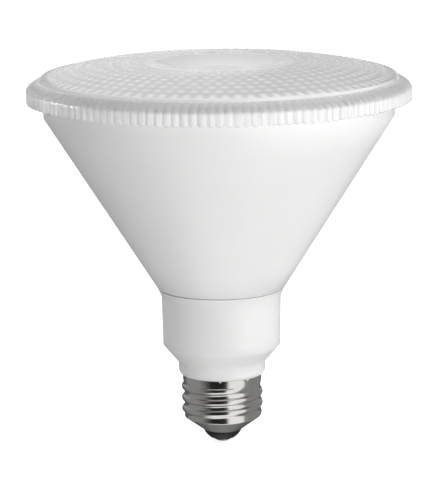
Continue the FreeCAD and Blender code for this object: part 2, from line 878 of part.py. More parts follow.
def make_led_packages():
    """A ring of square light sources, turned half a step from the screws."""
    count = int(s.led_count.value)
    pieces = []
    for index in range(count):
        turn = 360.0 * (index + 0.5) / count
        name = "led_%d" % (index + 1)
        box = doc.addObject("Part::Box", name)
        for path, size in (("Length", s.led_side), ("Width", s.led_side), ("Height", s.led_height)):
            setattr(box, path, size.value)
            tie(box, path, size)
        cosine = math.cos(math.radians(turn))
        sine = math.sin(math.radians(turn))
        near = led_ring_radius - s.led_side / 2
        across = s.led_side / 2
        x = near * cosine + across * sine
        y = near * sine - across * cosine
        pieces.append(place(box, x, y, led_board_top_level, turn))
    return grouped("led_packages", pieces)


def make_led_connector():
    """The terminal block over the wire hole, with the wires let in from below."""
    near = led_wire_place - s.connector_depth / 2
    connector = block("led_connector", s.connector_width, s.connector_depth, s.connector_height,
                      0, near, led_board_top_level)
    return connector


def make_board_screws():
    """Screws that hold the LED board down on the plateau."""
    count = int(s.board_screw_count.value)
    pieces = []
    for index in range(count):
        angle = 2 * math.pi * index / count
        x = screw_circle_radius * math.cos(angle)
        y = screw_circle_radius * math.sin(angle)
        number = index + 1
        head = rod("board_screw_head_%d" % number, s.board_screw_head_radius, s.board_screw_head_height,
                   x, y, led_board_top_level)
        shank = rod("board_screw_shank_%d" % number, s.board_screw_radius, s.board_screw_length,
                    x, y, led_board_top_level - s.board_screw_length)
        pieces.append(fused("board_screw_%d" % number, [head, shank]))
    return grouped("board_screws", pieces)


def make_housing_screws():
    """Screws that pull the heat sink and the cone's floor down on the collar's bosses."""
    seat = plateau_level - s.housing_screw_head_height - s.seat_clearance
    pieces = []
    for name, y in (("back", screw_circle_radius), ("front", -screw_circle_radius)):
        head = rod("housing_screw_head_" + name, s.housing_screw_head_radius, s.housing_screw_head_height,
                   0, y, seat)
        shank = rod("housing_screw_shank_" + name, s.housing_screw_radius, s.housing_screw_length,
                    0, y, seat - s.housing_screw_length)
        pieces.append(fused("housing_screw_" + name, [head, shank]))
    return grouped("housing_screws", pieces)


# Driver

def make_driver_board():
    """An upright board: wide between the rails, with a tail down the neck."""
    half_width = collar_bore - s.driver_board_inset
    body = new_body("driver_board")
    sketch = outline(body, "driver_board_outline", "XZ_Plane", [
        (-tail_half_width, driver_tail_level),
        (tail_half_width, driver_tail_level),
        (tail_half_width, driver_foot_level),
        (half_width, driver_foot_level),
        (half_width, driver_top_level),
        (-half_width, driver_top_level),
        (-half_width, driver_foot_level),
        (-tail_half_width, driver_foot_level),
    ], -s.driver_board_place)
    raised(body, "driver_board_pad", sketch, s.driver_board_thickness, downwards=True)
    return body


def driver_parts():
    """What the driver board carries, each standing close on one of its faces."""
    face = board_face
    back = board_back
    gap = s.seat_clearance
    foot = driver_foot_level + gap
    capacitor_place = collar_bore - s.capacitor_inset
    bobbin_width = (capacitor_place - s.capacitor_radius - s.capacitor_gap) * 2
    core = block("transformer_core", bobbin_width - s.bobbin_flange * 2, s.core_depth, s.core_height,
                 0, face - s.core_depth, foot + (s.bobbin_height - s.core_height) / 2)
    bobbin = block("transformer_bobbin", bobbin_width, s.bobbin_depth, s.bobbin_height,
                   0, face - s.bobbin_depth - s.bobbin_inset, foot)
    transformer = fused("transformer", [core, bobbin])

    can_place = face - s.capacitor_radius
    input_capacitor = rod("input_capacitor", s.capacitor_radius, s.input_capacitor_length,
                          capacitor_place, can_place, foot)
    output_capacitor = rod("output_capacitor", s.capacitor_radius, s.output_capacitor_length,
                           -capacitor_place, can_place, foot)

    inductor = rod("filter_inductor", s.inductor_radius, s.inductor_length, 0, face - s.inductor_radius,
                   driver_foot_level - s.inductor_length - s.inductor_gap)

    film_width = (wire_place - s.wire_radius - s.film_capacitor_gap) * 2
    film = block("film_capacitor", film_width, s.film_capacitor_depth, s.film_capacitor_height,
                 0, face - s.film_capacitor_depth, driver_tail_level + s.film_capacitor_rise)

    middle = driver_foot_level + s.chip_rise
    aside = tail_half_width
    rectifier = block("bridge_rectifier", s.rectifier_side, s.rectifier_height, s.rectifier_side,
                      -aside, back, middle)
    chip = block("driver_chip", s.chip_width, s.chip_height, s.chip_length, aside, back, middle)
    resistor = rod("fuse_resistor", s.resistor_radius, s.resistor_length,
                   0, back + gap + s.resistor_radius, driver_tail_level + s.resistor_rise)
    return [transformer, input_capacitor, output_capacitor, inductor, film, rectifier, chip, resistor]


# Wires

def make_wire(label, stations, radius, bend):
    """A round wire: straight runs through the stations, each (x, y, level), joined by tangent bends."""
    points = [FreeCAD.Vector(*(as_size(value).value for value in station)) for station in stations]
    runs = []
    here = points[0]
    for before, corner, after in zip(points, points[1:], points[2:]):
        arriving = (corner - before).normalize()
        leaving = (after - corner).normalize()
        turn = arriving.getAngle(leaving)
        trim = bend.value * math.tan(turn / 2)
        start = corner - arriving * trim
        axis = arriving.cross(leaving).normalize()
        centre = start + axis.cross(arriving) * bend.value
        runs.append(Part.makeCylinder(radius.value, here.distanceToPoint(start), here, arriving))
        section = Part.Face(Part.Wire([Part.Circle(start, arriving, radius.value).toShape()]))
        runs.append(section.revolve(centre, axis, math.degrees(turn)))
        here = corner + leaving * trim
    last = points[-1] - here
    runs.append(Part.makeCylinder(radius.value, last.Length, here, last))
    wire = doc.addObject("Part::Feature", label)
    wire.Label = label
    wire.Shape = runs[0].multiFuse(runs[1:]) if len(runs) > 1 else runs[0]
    return wire


def make_wires():
    """The four wires: contact and shell to the driver board, and the board to the LED connector."""
    shank_top = s.contact_height + s.contact_shank_length
    front = board_face - s.wire_radius - s.seat_clearance
    tail_end = driver_tail_level + s.wire_lap
    live = make_wire("live_wire", [
        (0, 0, shank_top),
        (0, 0, spigot_foot_level - s.wire_radius),
        (wire_place, front, driver_tail_level - s.wire_radius),
        (wire_place, front, tail_end),
    ], s.wire_radius, s.wire_bend)
    thin = s.neutral_wire_radius
    slot_middle = spigot_radius - thin
    crossing = spigot_foot_level - s.neutral_wire_drop
    neutral = make_wire("neutral_wire", [
        (-wire_place, front, tail_end),
        (-wire_place, front, crossing),
        (-slot_middle, 0, crossing),
        (-slot_middle, 0, spigot_foot_level + s.neutral_wire_rise),
    ], thin, s.neutral_wire_bend)
    pair = s.led_wire_half_pitch
    led_wires = []
    for label, x in (("led_wire_positive", pair), ("led_wire_negative", -pair)):
        led_wires.append(make_wire(label, [
            (x, led_wire_place, driver_top_level - s.led_wire_lap),
            (x, led_wire_place, led_board_top_level),
        ], s.wire_radius, s.wire_bend))
    return [live, neutral] + led_wires


def make_parts():
    """Every sub-part of the lamp, from the lens down."""
    parts = [
        make_lens(),
        make_housing_cone(),
        make_heat_sink(),
        make_reflector(),
        make_thermal_pad(),
        make_led_board(),
        make_led_packages(),
        make_led_connector(),
        make_board_screws(),
        make_housing_screws(),
        make_collar(),
        make_driver_board(),
    ]
    parts += driver_parts()
    parts += make_wires()
    parts += [make_screw_shell(), make_base_insulator(), make_centre_contact()]
    return parts


def check(parts):
    """Stops if any object failed or any sub-part has no sound solid."""
    doc.recompute()
    for thing in doc.Objects:
        if "Invalid" in thing.State or "Error" in thing.State:
            raise RuntimeError("%s failed: %s" % (thing.Name, thing.State))
    for part in parts:
        if part.Shape.isNull() or not part.Shape.isValid() or part.Shape.Volume <= 0:
            raise RuntimeError("%s has no sound solid" % part.Label)


parts = make_parts()
check(parts)
os.makedirs("parts", exist_ok=True)
for part in parts:
    part.Shape.exportStep(os.path.join("parts", part.Label + ".step"))
    print("%-20s %d solid(s) %10.2f mm3" % (part.Label, len(part.Shape.Solids), part.Shape.Volume))
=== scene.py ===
import math

import bmesh
import bpy
import numpy as np
from mathutils import Matrix, Vector


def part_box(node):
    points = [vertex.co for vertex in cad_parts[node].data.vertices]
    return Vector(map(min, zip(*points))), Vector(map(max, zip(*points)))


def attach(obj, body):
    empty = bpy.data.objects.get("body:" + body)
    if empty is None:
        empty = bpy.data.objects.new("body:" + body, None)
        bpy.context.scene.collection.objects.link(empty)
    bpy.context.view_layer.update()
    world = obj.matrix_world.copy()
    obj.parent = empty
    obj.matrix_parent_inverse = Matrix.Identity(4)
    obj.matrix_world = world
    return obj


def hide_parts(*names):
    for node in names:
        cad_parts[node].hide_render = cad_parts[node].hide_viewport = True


# A PAR38 spotlight bulb with a clear fluted lens, a white housing and a screw base.
# Metres, Z up, the lamp's axis is Z. The camera stands on the -Y side.

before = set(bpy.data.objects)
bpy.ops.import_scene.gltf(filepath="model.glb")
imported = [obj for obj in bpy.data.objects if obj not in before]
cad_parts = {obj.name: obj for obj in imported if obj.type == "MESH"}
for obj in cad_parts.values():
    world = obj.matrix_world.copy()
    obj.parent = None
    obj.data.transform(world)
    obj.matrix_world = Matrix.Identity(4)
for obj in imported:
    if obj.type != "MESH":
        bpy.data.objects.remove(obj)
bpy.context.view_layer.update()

MM = 0.001


def measure(node):
    """The widest radius and the lowest and highest level of a CAD node."""
    low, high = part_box(node)
    return high.x, low.z, high.z


lens_radius, lens_foot, _ = measure("lens")
band_radius, _, lens_seat = measure("housing_cone")
_, _, seam_level = measure("collar")
_, shell_foot, shell_top = measure("screw_shell")
contact_radius, _, contact_top = measure("centre_contact")
flange_radius, insulator_foot, insulator_top = measure("base_insulator")
bowl_radius, bowl_foot, bowl_top = measure("reflector")


# Mesh tools

def in_scene(name, data):
    """A new object in the scene, with its mesh, lamp or camera."""
    thing = bpy.data.objects.new(name, data)
    bpy.context.scene.collection.objects.link(thing)
    return thing


def shade_smooth(mesh, sharp):
    """Smooth shading, where edges past an angle in degrees stay sharp."""
    mesh.shade_smooth()
    mesh.set_sharp_from_angle(angle=math.radians(sharp))


def circle(radius, level, count):
    """A ring of count points: (r cos a, r sin a, z) for even steps of a.

    The radius and the level are numbers, or arrays over a.
    """
    angle = np.arange(count) * (2 * math.pi / count)
    return np.stack([radius * np.cos(angle), radius * np.sin(angle), level + 0 * angle], axis=1)


def pole(level):
    """A ring of one point on the axis."""
    return np.array([[0.0, 0.0, level]])


def joining_faces(first, first_count, second, second_count):
    """The faces between two neighbouring rings.

    Rings alike in count give one quad a step. Where one has twice as many points, each step of
    the coarser ring gives a triangle and a quad. A ring of one point is a pole with a fan.
    """
    if first_count == second_count:
        i = np.arange(first_count)
        j = (i + 1) % first_count
        return [], np.stack([first + i, first + j, second + j, second + i], axis=1).tolist()
    if first_count == 1:
        i = np.arange(second_count)
        j = (i + 1) % second_count
        return np.stack([first + 0 * i, second + j, second + i], axis=1).tolist(), []
    if second_count == 1:
        i = np.arange(first_count)
        j = (i + 1) % first_count
        return np.stack([first + i, first + j, second + 0 * i], axis=1).tolist(), []
    if first_count < second_count:
        i = np.arange(first_count)
        j = (i + 1) % first_count
        a = second + 2 * i
        b = second + 2 * i + 1
        c = second + (2 * i + 2) % second_count
        triangles = np.stack([first + i, b, a], axis=1).tolist()
        quads = np.stack([first + i, first + j, c, b], axis=1).tolist()
        return triangles, quads
    i = np.arange(second_count)
    j = (i + 1) % second_count
    a = first + 2 * i
    b = first + 2 * i + 1
    c = first + (2 * i + 2) % first_count
    triangles = np.stack([a, b, second + i], axis=1).tolist()
    quads = np.stack([b, c, second + j, second + i], axis=1).tolist()
    return triangles, quads


def signed_volume(points, faces):
    """Six times the volume inside the faces: the sum of a . (b x c) over fans of each face."""
    total = 0.0
    for size in (3, 4):
        alike = np.array([face for face in faces if len(face) == size], dtype=int).reshape(-1, size)
        for k in range(1, size - 1):
            a, b, c = points[alike[:, 0]], points[alike[:, k]], points[alike[:, k + 1]]
            total += np.einsum("ij,ij->", a, np.cross(b, c))
    return total


def solid_of_rings(name, rings, looped=False, sharp=40.0):
    """A closed smooth surface through rings of points, in order along the section.

    The first and last rings are poles of one point, or with looped the last ring joins the first.
    Faces are turned outwards by the sign of the volume, and edges past the angle stay sharp.
    """
    counts = [len(ring) for ring in rings]
    starts = np.concatenate([[0], np.cumsum(counts)[:-1]]).tolist()
    pairs = list(zip(range(len(rings) - 1), range(1, len(rings))))
    if looped:
        pairs.append((len(rings) - 1, 0))
    faces = []
    for one, other in pairs:
        triangles, quads = joining_faces(starts[one], counts[one], starts[other], counts[other])
        faces += triangles + quads
    points = np.concatenate(rings)
    if signed_volume(points, faces) < 0:
        faces = [face[::-1] for face in faces]
    mesh = bpy.data.meshes.new(name)
    mesh.from_pydata(points.tolist(), [], faces)
    mesh.update()
    shade_smooth(mesh, sharp)
    return in_scene(name, mesh)


def rounded(corners, steps=5):
    """A section through corners, each (radius, level) or (radius, level, fillet).

    A corner with a fillet f becomes an arc of that radius tangent to both edges: it starts
    f tan(t/2) before the corner, where t is the turn there, and its middle lies on the bisector.
    """
    points = [np.array(corner[:2], float) for corner in corners]
    section = [points[0]]
    for before, here, after, corner in zip(points, points[1:], points[2:], corners[1:]):
        fillet = corner[2] if len(corner) > 2 else 0.0
        arriving = (here - before) / np.linalg.norm(here - before)
        leaving = (after - here) / np.linalg.norm(after - here)
        turn = math.acos(np.clip(arriving @ leaving, -1, 1))
        if fillet == 0.0 or turn < 1e-3:
            section.append(here)
            continue
        trim = fillet * math.tan(turn / 2)
        bisector = leaving - arriving
        centre = here + bisector / np.linalg.norm(bisector) * (fillet / math.cos(turn / 2))
        start = here - arriving * trim - centre
        end = here + leaving * trim - centre
        share = np.linspace(0, 1, steps)[:, None]
        arc = (start * np.sin((1 - share) * turn) + end * np.sin(share * turn)) / math.sin(turn)
        section.extend(centre + arc)
    section.append(points[-1])
    return np.array(section)


def lathe(name, corners, count, looped=False):
    """A turned piece from the rounded section of its corners. A radius of 0 is a pole."""
    rings = []
    for radius, level in rounded(corners):
        rings.append(circle(radius, level, count) if radius > 0 else pole(level))
    return solid_of_rings(name, rings, looped)


# White housing: the CAD cone and collar with smooth shading and the seam between them

HOUSING_SHARP = 28.0
WELD_DISTANCE = 0.001 * MM
SEAM_DEPTH = 0.35 * MM
SEAM_HALF_WIDTH = 0.25 * MM
SEAM_EDGE_BAND = 0.1 * MM
LEVEL_TOLERANCE = 0.01 * MM


def smooth_copy(node, name):
    """A copy of a CAD node with its triangles joined and its curved faces shaded smooth."""
    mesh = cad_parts[node].data.copy()
    mesh.name = name
    piece = in_scene(name, mesh)
    weld = piece.modifiers.new("weld", "WELD")
    weld.merge_threshold = WELD_DISTANCE
    bpy.context.view_layer.update()
    evaluated = piece.evaluated_get(bpy.context.evaluated_depsgraph_get())
    welded = bpy.data.meshes.new_from_object(evaluated)
    piece.modifiers.clear()
    piece.data = welded
    welded.name = name
    welded.materials.clear()
    welded.normals_split_custom_set([(0.0, 0.0, 0.0)] * len(welded.loops))
    shade_smooth(welded, HOUSING_SHARP)
    return piece


def cut_seam(piece, side):
    """Half of the V groove between cone and collar, above the seam (side 1) or below it (side -1).

    A ring of edges is cut half a groove's width from the seam, and the seam's own outer edge, the
    points of the largest radius at its level, is drawn in by the groove's depth.
    """
    mesh = piece.data
    cut = bmesh.new()
    cut.from_mesh(mesh)
    everything = cut.verts[:] + cut.edges[:] + cut.faces[:]
    cut_level = seam_level + side * SEAM_HALF_WIDTH
    bmesh.ops.bisect_plane(cut, geom=everything, plane_co=(0, 0, cut_level), plane_no=(0, 0, 1))
    cut.to_mesh(mesh)
    cut.free()
    points = np.empty(len(mesh.vertices) * 3, np.float32)
    mesh.vertices.foreach_get("co", points)
    points = points.reshape(-1, 3)
    radius = np.hypot(points[:, 0], points[:, 1])
    level_with = np.abs(points[:, 2] - seam_level) < LEVEL_TOLERANCE
    edge = level_with & (radius > radius[level_with].max() - SEAM_EDGE_BAND)
    points[edge, :2] *= (1 - SEAM_DEPTH / radius[edge])[:, None]
    mesh.vertices.foreach_set("co", points.ravel())
    mesh.update()
    mesh.set_sharp_from_angle(angle=math.radians(HOUSING_SHARP))
    return piece


# Lens: its rises are above the housing's top, the lens seat, and on the rim above the lens foot

RECESS_CENTRE_RADIUS = 4.0 * MM
RECESS_FLOOR_RADIUS = 12.0 * MM
RECESS_FLOOR_FILLET = 1.6 * MM
RECESS_RADIUS = 21.0 * MM
RECESS_FILLET = 2.2 * MM
RECESS_DEPTH = 2.6 * MM
RECESS_RIM_RISE = 5.7 * MM
RECESS_STEPS = 7
DOME_EDGE_RADIUS = 56.4 * MM
DOME_EDGE_RISE = 1.75 * MM
DOME_EDGE_FILLET = 0.5 * MM
DOME_SPHERE = 112.0 * MM
DOME_FOOT_RADIUS = 56.7 * MM
DOME_FOOT_FILLET = 0.4 * MM
SHOULDER_TOP_RADIUS = 57.6 * MM
SHOULDER_TOP_RISE = 6.75 * MM
SHOULDER_TOP_FILLET = 0.5 * MM
SHOULDER_RADIUS = 60.1 * MM
SHOULDER_RISE = 5.25 * MM
SHOULDER_FILLET = 1.8 * MM
SKIRT_TOP_RISE = 4.2 * MM
SKIRT_TOP_FILLET = 1.1 * MM
SKIRT_FOOT_FILLET = 0.35 * MM
SKIRT_WALL = 2.0 * MM
SEAT_OUTER = 0.6 * MM
INSIDE_FILLET = 0.4 * MM
SEAT_RING_WALL = 1.4 * MM
SEAT_RING_GAP = 0.2 * MM
UNDERSIDE_RISE = 0.7 * MM
UNDERSIDE_FILLET = 0.5 * MM
UNDERSIDE_FLAT_INSET = 2.0 * MM

FLUTE_COUNT = 144
FLUTE_DEPTH = 0.6 * MM
FLUTE_RUN_IN = 1.2 * MM
FOOT_FLUTE_SHARE = 0.8
FINE_STEPS = FLUTE_COUNT * 6

LENSLET_RINGS = 9
LENSLET_FIRST_COUNT = 42
LENSLET_COUNT_STEP = 6
LENSLET_PITCH = 3.6 * MM
LENSLET_START = 23.5 * MM
LENSLET_END = LENSLET_START + LENSLET_RINGS * LENSLET_PITCH
LENSLET_RISE = 0.24 * MM
ROWS_PER_LENSLET = 7

# A tone from 0 to 1 that paints shade into the lens's colour, 0 darkest: on the recess by radius, darker
# in the middle of its floor and about its rim, and on plain surfaces
RECESS_SHADE_RADII = (8.0 * MM, 11.0 * MM, 18.5 * MM, 21.0 * MM, 23.5 * MM)
RECESS_SHADE_TONES = (0.45, 1.0, 1.0, 0.2, 0.35)
PLAIN_TONE = 0.8

# The top face reaches this far past the last ring and below the recess rim, and stays this far
# above the underside
LENSLET_MARGIN = 0.1 * MM
TOP_FACE_DROP = 5.0 * MM
UNDERSIDE_MARGIN = 1.0 * MM

skirt_bore = lens_radius - SKIRT_WALL
underside = lens_seat + UNDERSIDE_RISE
recess_rim = lens_seat + RECESS_RIM_RISE
recess_floor = recess_rim - RECESS_DEPTH


def dome_level(radius):
    """The dome: an arc from the recess rim to the dome's edge, z = zc + sqrt(R^2 - (r - rc)^2)."""
    rim = np.array([RECESS_RADIUS, recess_rim])
    edge = np.array([DOME_EDGE_RADIUS, lens_seat + DOME_EDGE_RISE])
    chord = edge - rim
    half = np.linalg.norm(chord) / 2
    across = np.array([chord[1], -chord[0]]) / (2 * half)
    centre = (rim + edge) / 2 + across * math.sqrt(DOME_SPHERE ** 2 - half ** 2)
    return centre[1] + np.sqrt(DOME_SPHERE ** 2 - (radius - centre[0]) ** 2)


def lenslet_rise(radius, angle):
    """The beads: each rises by h (1 + cos pi u)(1 + cos pi v) / 4, u and v from -1 to 1 across it.

    Ring k has 42 + 6k lenslets, so they keep one width from ring to ring, and seen from the front
    each ring is set half a lenslet aside from the last. The last ring's beads run out into the
    dome's edge.
    """
    ring = (radius - LENSLET_START) / LENSLET_PITCH
    k = np.clip(np.floor(ring), 0, LENSLET_RINGS - 1)
    v = 2 * (ring - k) - 1
    v = np.where((k == LENSLET_RINGS - 1) & (v > 0), 0, np.clip(v, -1, 1))
    count = LENSLET_FIRST_COUNT + LENSLET_COUNT_STEP * k
    place = (angle + math.pi / 2) * count / (2 * math.pi) + k / 2
    u = 2 * (place - np.floor(place)) - 1
    return LENSLET_RISE * (1 + np.cos(math.pi * u)) * (1 + np.cos(math.pi * v)) / 4


def flute_sink(angle):
    """The share of the flutes' depth at an angle: 1 - |cos(n a / 2)|, round ribs, sharp valleys."""
    return 1 - np.abs(np.cos(FLUTE_COUNT * angle / 2))


def fluted_ring(point, normal, share):
    """A fine ring through a section's point, sunk against its normal by its share of the flutes."""
    angle = np.arange(FINE_STEPS) * (2 * math.pi / FINE_STEPS)
    sink = FLUTE_DEPTH * share * flute_sink(angle)
    return circle(point[0] - normal[0] * sink, point[1] - normal[1] * sink, FINE_STEPS)


def section_normals(section):
    """Unit normals to the left of a section's way, so outwards on the rim: (-dz, dr) over the length."""
    run = np.gradient(section, axis=0)
    length = np.linalg.norm(run, axis=1)[:, None]
    return np.stack([-run[:, 1], run[:, 0]], axis=1) / length


def recess_rings():
    """The recess from its pole out to the first lenslets."""
    section = rounded([
        (RECESS_CENTRE_RADIUS, recess_floor),
        (RECESS_FLOOR_RADIUS, recess_floor, RECESS_FLOOR_FILLET),
        (RECESS_RADIUS, recess_rim, RECESS_FILLET),
        (LENSLET_START, dome_level(LENSLET_START)),
    ], steps=RECESS_STEPS)
    return [pole(recess_floor)] + [circle(radius, level, FINE_STEPS // 2) for radius, level in section]


def dome_rings():
    """The dome with its lenslets: z = dome level + lenslet rise over radius and angle."""
    angle = np.arange(FINE_STEPS) * (2 * math.pi / FINE_STEPS)
    radii = np.linspace(LENSLET_START, LENSLET_END, LENSLET_RINGS * ROWS_PER_LENSLET + 1)[1:]
    return [circle(radius, dome_level(radius) + lenslet_rise(radius, angle), FINE_STEPS)
            for radius in radii]


def rim_rings():
    """The dome's edge, the shoulder and the skirt, fluted from the shoulder's top down to the foot.

    The flutes run in over a short way about the shoulder's top, and stop at the skirt's bore.
    """
    section = rounded([
        (LENSLET_END, dome_level(LENSLET_END)),
        (DOME_EDGE_RADIUS, lens_seat + DOME_EDGE_RISE, DOME_EDGE_FILLET),
        (DOME_FOOT_RADIUS, lens_foot + SHOULDER_TOP_RISE, DOME_FOOT_FILLET),
        (SHOULDER_TOP_RADIUS, lens_foot + SHOULDER_TOP_RISE, SHOULDER_TOP_FILLET),
        (SHOULDER_RADIUS, lens_foot + SHOULDER_RISE, SHOULDER_FILLET),
        (lens_radius, lens_foot + SKIRT_TOP_RISE, SKIRT_TOP_FILLET),
        (lens_radius, lens_foot, SKIRT_FOOT_FILLET),
        (skirt_bore, lens_foot),
    ])
    past_top = section[:, 0] - SHOULDER_TOP_RADIUS
    share = np.clip((past_top + FLUTE_RUN_IN / 2) / FLUTE_RUN_IN, 0, 1)
    share[section[:, 1] < lens_foot + LEVEL_TOLERANCE] = FOOT_FLUTE_SHARE
    share[-1] = 0.0
    normals = section_normals(section)
    return [fluted_ring(*parts) for parts in zip(section[1:], normals[1:], share[1:])]


def inside_rings():
    """The skirt's bore, the seat on the housing, the ring about the reflector and the underside."""
    seat_outer = band_radius + SEAT_OUTER
    ring_outer = bowl_radius
    ring_inner = ring_outer - SEAT_RING_WALL
    ring_foot = bowl_top + SEAT_RING_GAP
    section = rounded([
        (skirt_bore, lens_foot + 0.1 * MM),
        (skirt_bore, lens_seat - (skirt_bore - seat_outer), INSIDE_FILLET),
        (seat_outer, lens_seat, INSIDE_FILLET),
        (ring_outer, lens_seat),
        (ring_outer, ring_foot),
        (ring_inner, ring_foot),
        (ring_inner, underside, UNDERSIDE_FILLET),
        (ring_inner - UNDERSIDE_FLAT_INSET, underside),
    ])
    first = circle(section[0][0], section[0][1], FINE_STEPS // 2)
    rest = [circle(radius, level, FINE_STEPS // 4) for radius, level in section[1:]]
    return [first] + rest + [pole(underside)]


def lens_painted_shade_tone(points):
    """Each point's tone of painted shade: a bead's share of its height, so darker between the beads, the
    recess's tones, or plain.
    """
    radius = np.hypot(points[:, 0], points[:, 1])
    angle = np.arctan2(points[:, 1], points[:, 0])
    level = points[:, 2]
    ringed = (radius > LENSLET_START) & (radius < LENSLET_END + LENSLET_MARGIN)
    beaded = ringed & (level > recess_rim - TOP_FACE_DROP)
    recessed = (radius <= LENSLET_START) & (level > underside + UNDERSIDE_MARGIN)
    bead_tone = lenslet_rise(radius, angle) / LENSLET_RISE
    recess_tone = np.interp(radius, RECESS_SHADE_RADII, RECESS_SHADE_TONES)
    return np.select([beaded, recessed], [bead_tone, recess_tone], PLAIN_TONE)


def make_lens():
    """The clear lens: recess, dome of lenslets, fluted shoulder and skirt, and the flat underside."""
    rings = recess_rings() + dome_rings() + rim_rings() + inside_rings()
    lens = solid_of_rings("clear_lens", rings)
    # A tone of painted shade for the lens's colour: darker between the beads and in parts of the recess
    painted_shade_tone = lens_painted_shade_tone(np.concatenate(rings)).astype(np.float32)
    lens.data.attributes.new("painted_shade_tone", "FLOAT", "POINT").data.foreach_set("value", painted_shade_tone)
    return lens


# Screw shell: its rises are above the shell's foot, and its drops below the shell's top edge

SHELL_STEPS = 384
SHELL_SHARP = 50.0
SHELL_WALL = 0.3 * MM
TAPER_WALL = 1.69 * SHELL_WALL
RIM_WALL_RISE = 0.47 * MM
SHELL_EDGE = 0.1 * MM

# Rows along the shell's section, which change by a lead below the taper's top
OUTSIDE_TURN_LEAD = 0.7 * MM
INSIDE_TURN_LEAD = 0.3 * MM
OUTSIDE_TAPER_ROWS = 7
OUTSIDE_BARREL_ROWS = 116
INSIDE_FLARE_ROWS = 10
INSIDE_BARREL_ROWS = 60
INSIDE_TAPER_ROWS = 5

SHELL_RIM_RADIUS = 6.1 * MM
SHELL_ROOT_RADIUS = 12.25 * MM
SHELL_BAND_RADIUS = 12.7 * MM
TAPER_TOP_RISE = 4.5 * MM
BAND_DROP = 1.9 * MM
FLARE_DROP = 4.6 * MM

THREAD_PITCH = 3.629 * MM
THREAD_TURNS = 2.75
THREAD_START_RISE = 5.27 * MM
THREAD_ARC = 1.191 * MM
THREAD_FADE_IN = math.radians(48)
THREAD_FADE_OUT = math.radians(60)
THREAD_FADE_IN_LEAD = 0.5
THREAD_FADE_OUT_LAG = 0.9
BARREL_LEAD = 0.6 * MM
BARREL_FADE_IN = 1.0 * MM
BARREL_FADE_OUT = 0.9 * MM

STAKE_COUNT = 9
STAKE_AZIMUTH = math.radians(-91.5)
STAKE_DROP = 0.15 * MM
STAKE_RADIUS = 0.42 * MM
STAKE_DEPTH = 0.34 * MM

taper_top = shell_foot + TAPER_TOP_RISE
flare_foot = shell_top - FLARE_DROP
band_foot = shell_top - BAND_DROP


def knuckle(offset):
    """The rolled ridge across its width: a crest arc of radius R that turns over into root arcs alike.

    Within a quarter pitch of the crest it is h - R + sqrt(R^2 - x^2), and past that
    R - sqrt(R^2 - (p/2 - x)^2), where h is the height from root to crest.
    """
    x = np.minimum(np.abs(offset), THREAD_PITCH / 2)
    height = 2 * (THREAD_ARC - math.sqrt(THREAD_ARC ** 2 - (THREAD_PITCH / 4) ** 2))
    crest = height - THREAD_ARC + np.sqrt(np.maximum(THREAD_ARC ** 2 - x ** 2, 0))
    root = THREAD_ARC - np.sqrt(np.maximum(THREAD_ARC ** 2 - (THREAD_PITCH / 2 - x) ** 2, 0))
    return np.where(x < THREAD_PITCH / 4, crest, root)


def eased(share):
    """A soft step from 0 to 1: 3 s^2 - 2 s^3."""
    share = np.clip(share, 0, 1)
    return share ** 2 * (3 - 2 * share)


def thread_rise(angle, level):
    """How far the thread stands out: the highest knuckle of its turns at an angle and a level.

    A turn wound by f from the start has its crest at z = z0 + p f / 2 pi. It fades in about f = 0,
    and out from just before the thread's whole winding to past it.
    """
    start = shell_foot + THREAD_START_RISE
    whole = 2 * math.pi * THREAD_TURNS
    rise = np.zeros_like(angle)
    for turn in range(-1, 4):
        wound = angle + 2 * math.pi * turn
        fade = eased(wound / THREAD_FADE_IN + THREAD_FADE_IN_LEAD)
        fade *= eased((whole - wound) / THREAD_FADE_OUT + THREAD_FADE_OUT_LAG)
        crest_level = start + THREAD_PITCH * wound / (2 * math.pi)
        rise = np.maximum(rise, fade * knuckle(level - crest_level))
    return rise


def stake_sink(angle, level):
    """The round stake marks that lock the shell to the neck: a bell dent h exp(-d^2 / w^2) at each."""
    step = 2 * math.pi / STAKE_COUNT
    nearest = (angle - STAKE_AZIMUTH + step / 2) % step - step / 2
    across = nearest * SHELL_BAND_RADIUS
    up = level - (shell_top - STAKE_DROP)
    return STAKE_DEPTH * np.exp(-(across ** 2 + up ** 2) / STAKE_RADIUS ** 2)


def shell_radius(angle, level):
    """The shell's outer radius: straight runs of taper, barrel, flare and band, thread and dents."""
    plain = np.interp(
        level,
        [shell_foot, taper_top, flare_foot, band_foot],
        [SHELL_RIM_RADIUS, SHELL_ROOT_RADIUS, SHELL_ROOT_RADIUS, SHELL_BAND_RADIUS])
    barrel = np.clip((level - taper_top + BARREL_LEAD) / BARREL_FADE_IN, 0, 1)
    barrel *= np.clip((band_foot - level) / BARREL_FADE_OUT, 0, 1)
    return plain + barrel * thread_rise(angle, level) - stake_sink(angle, level)


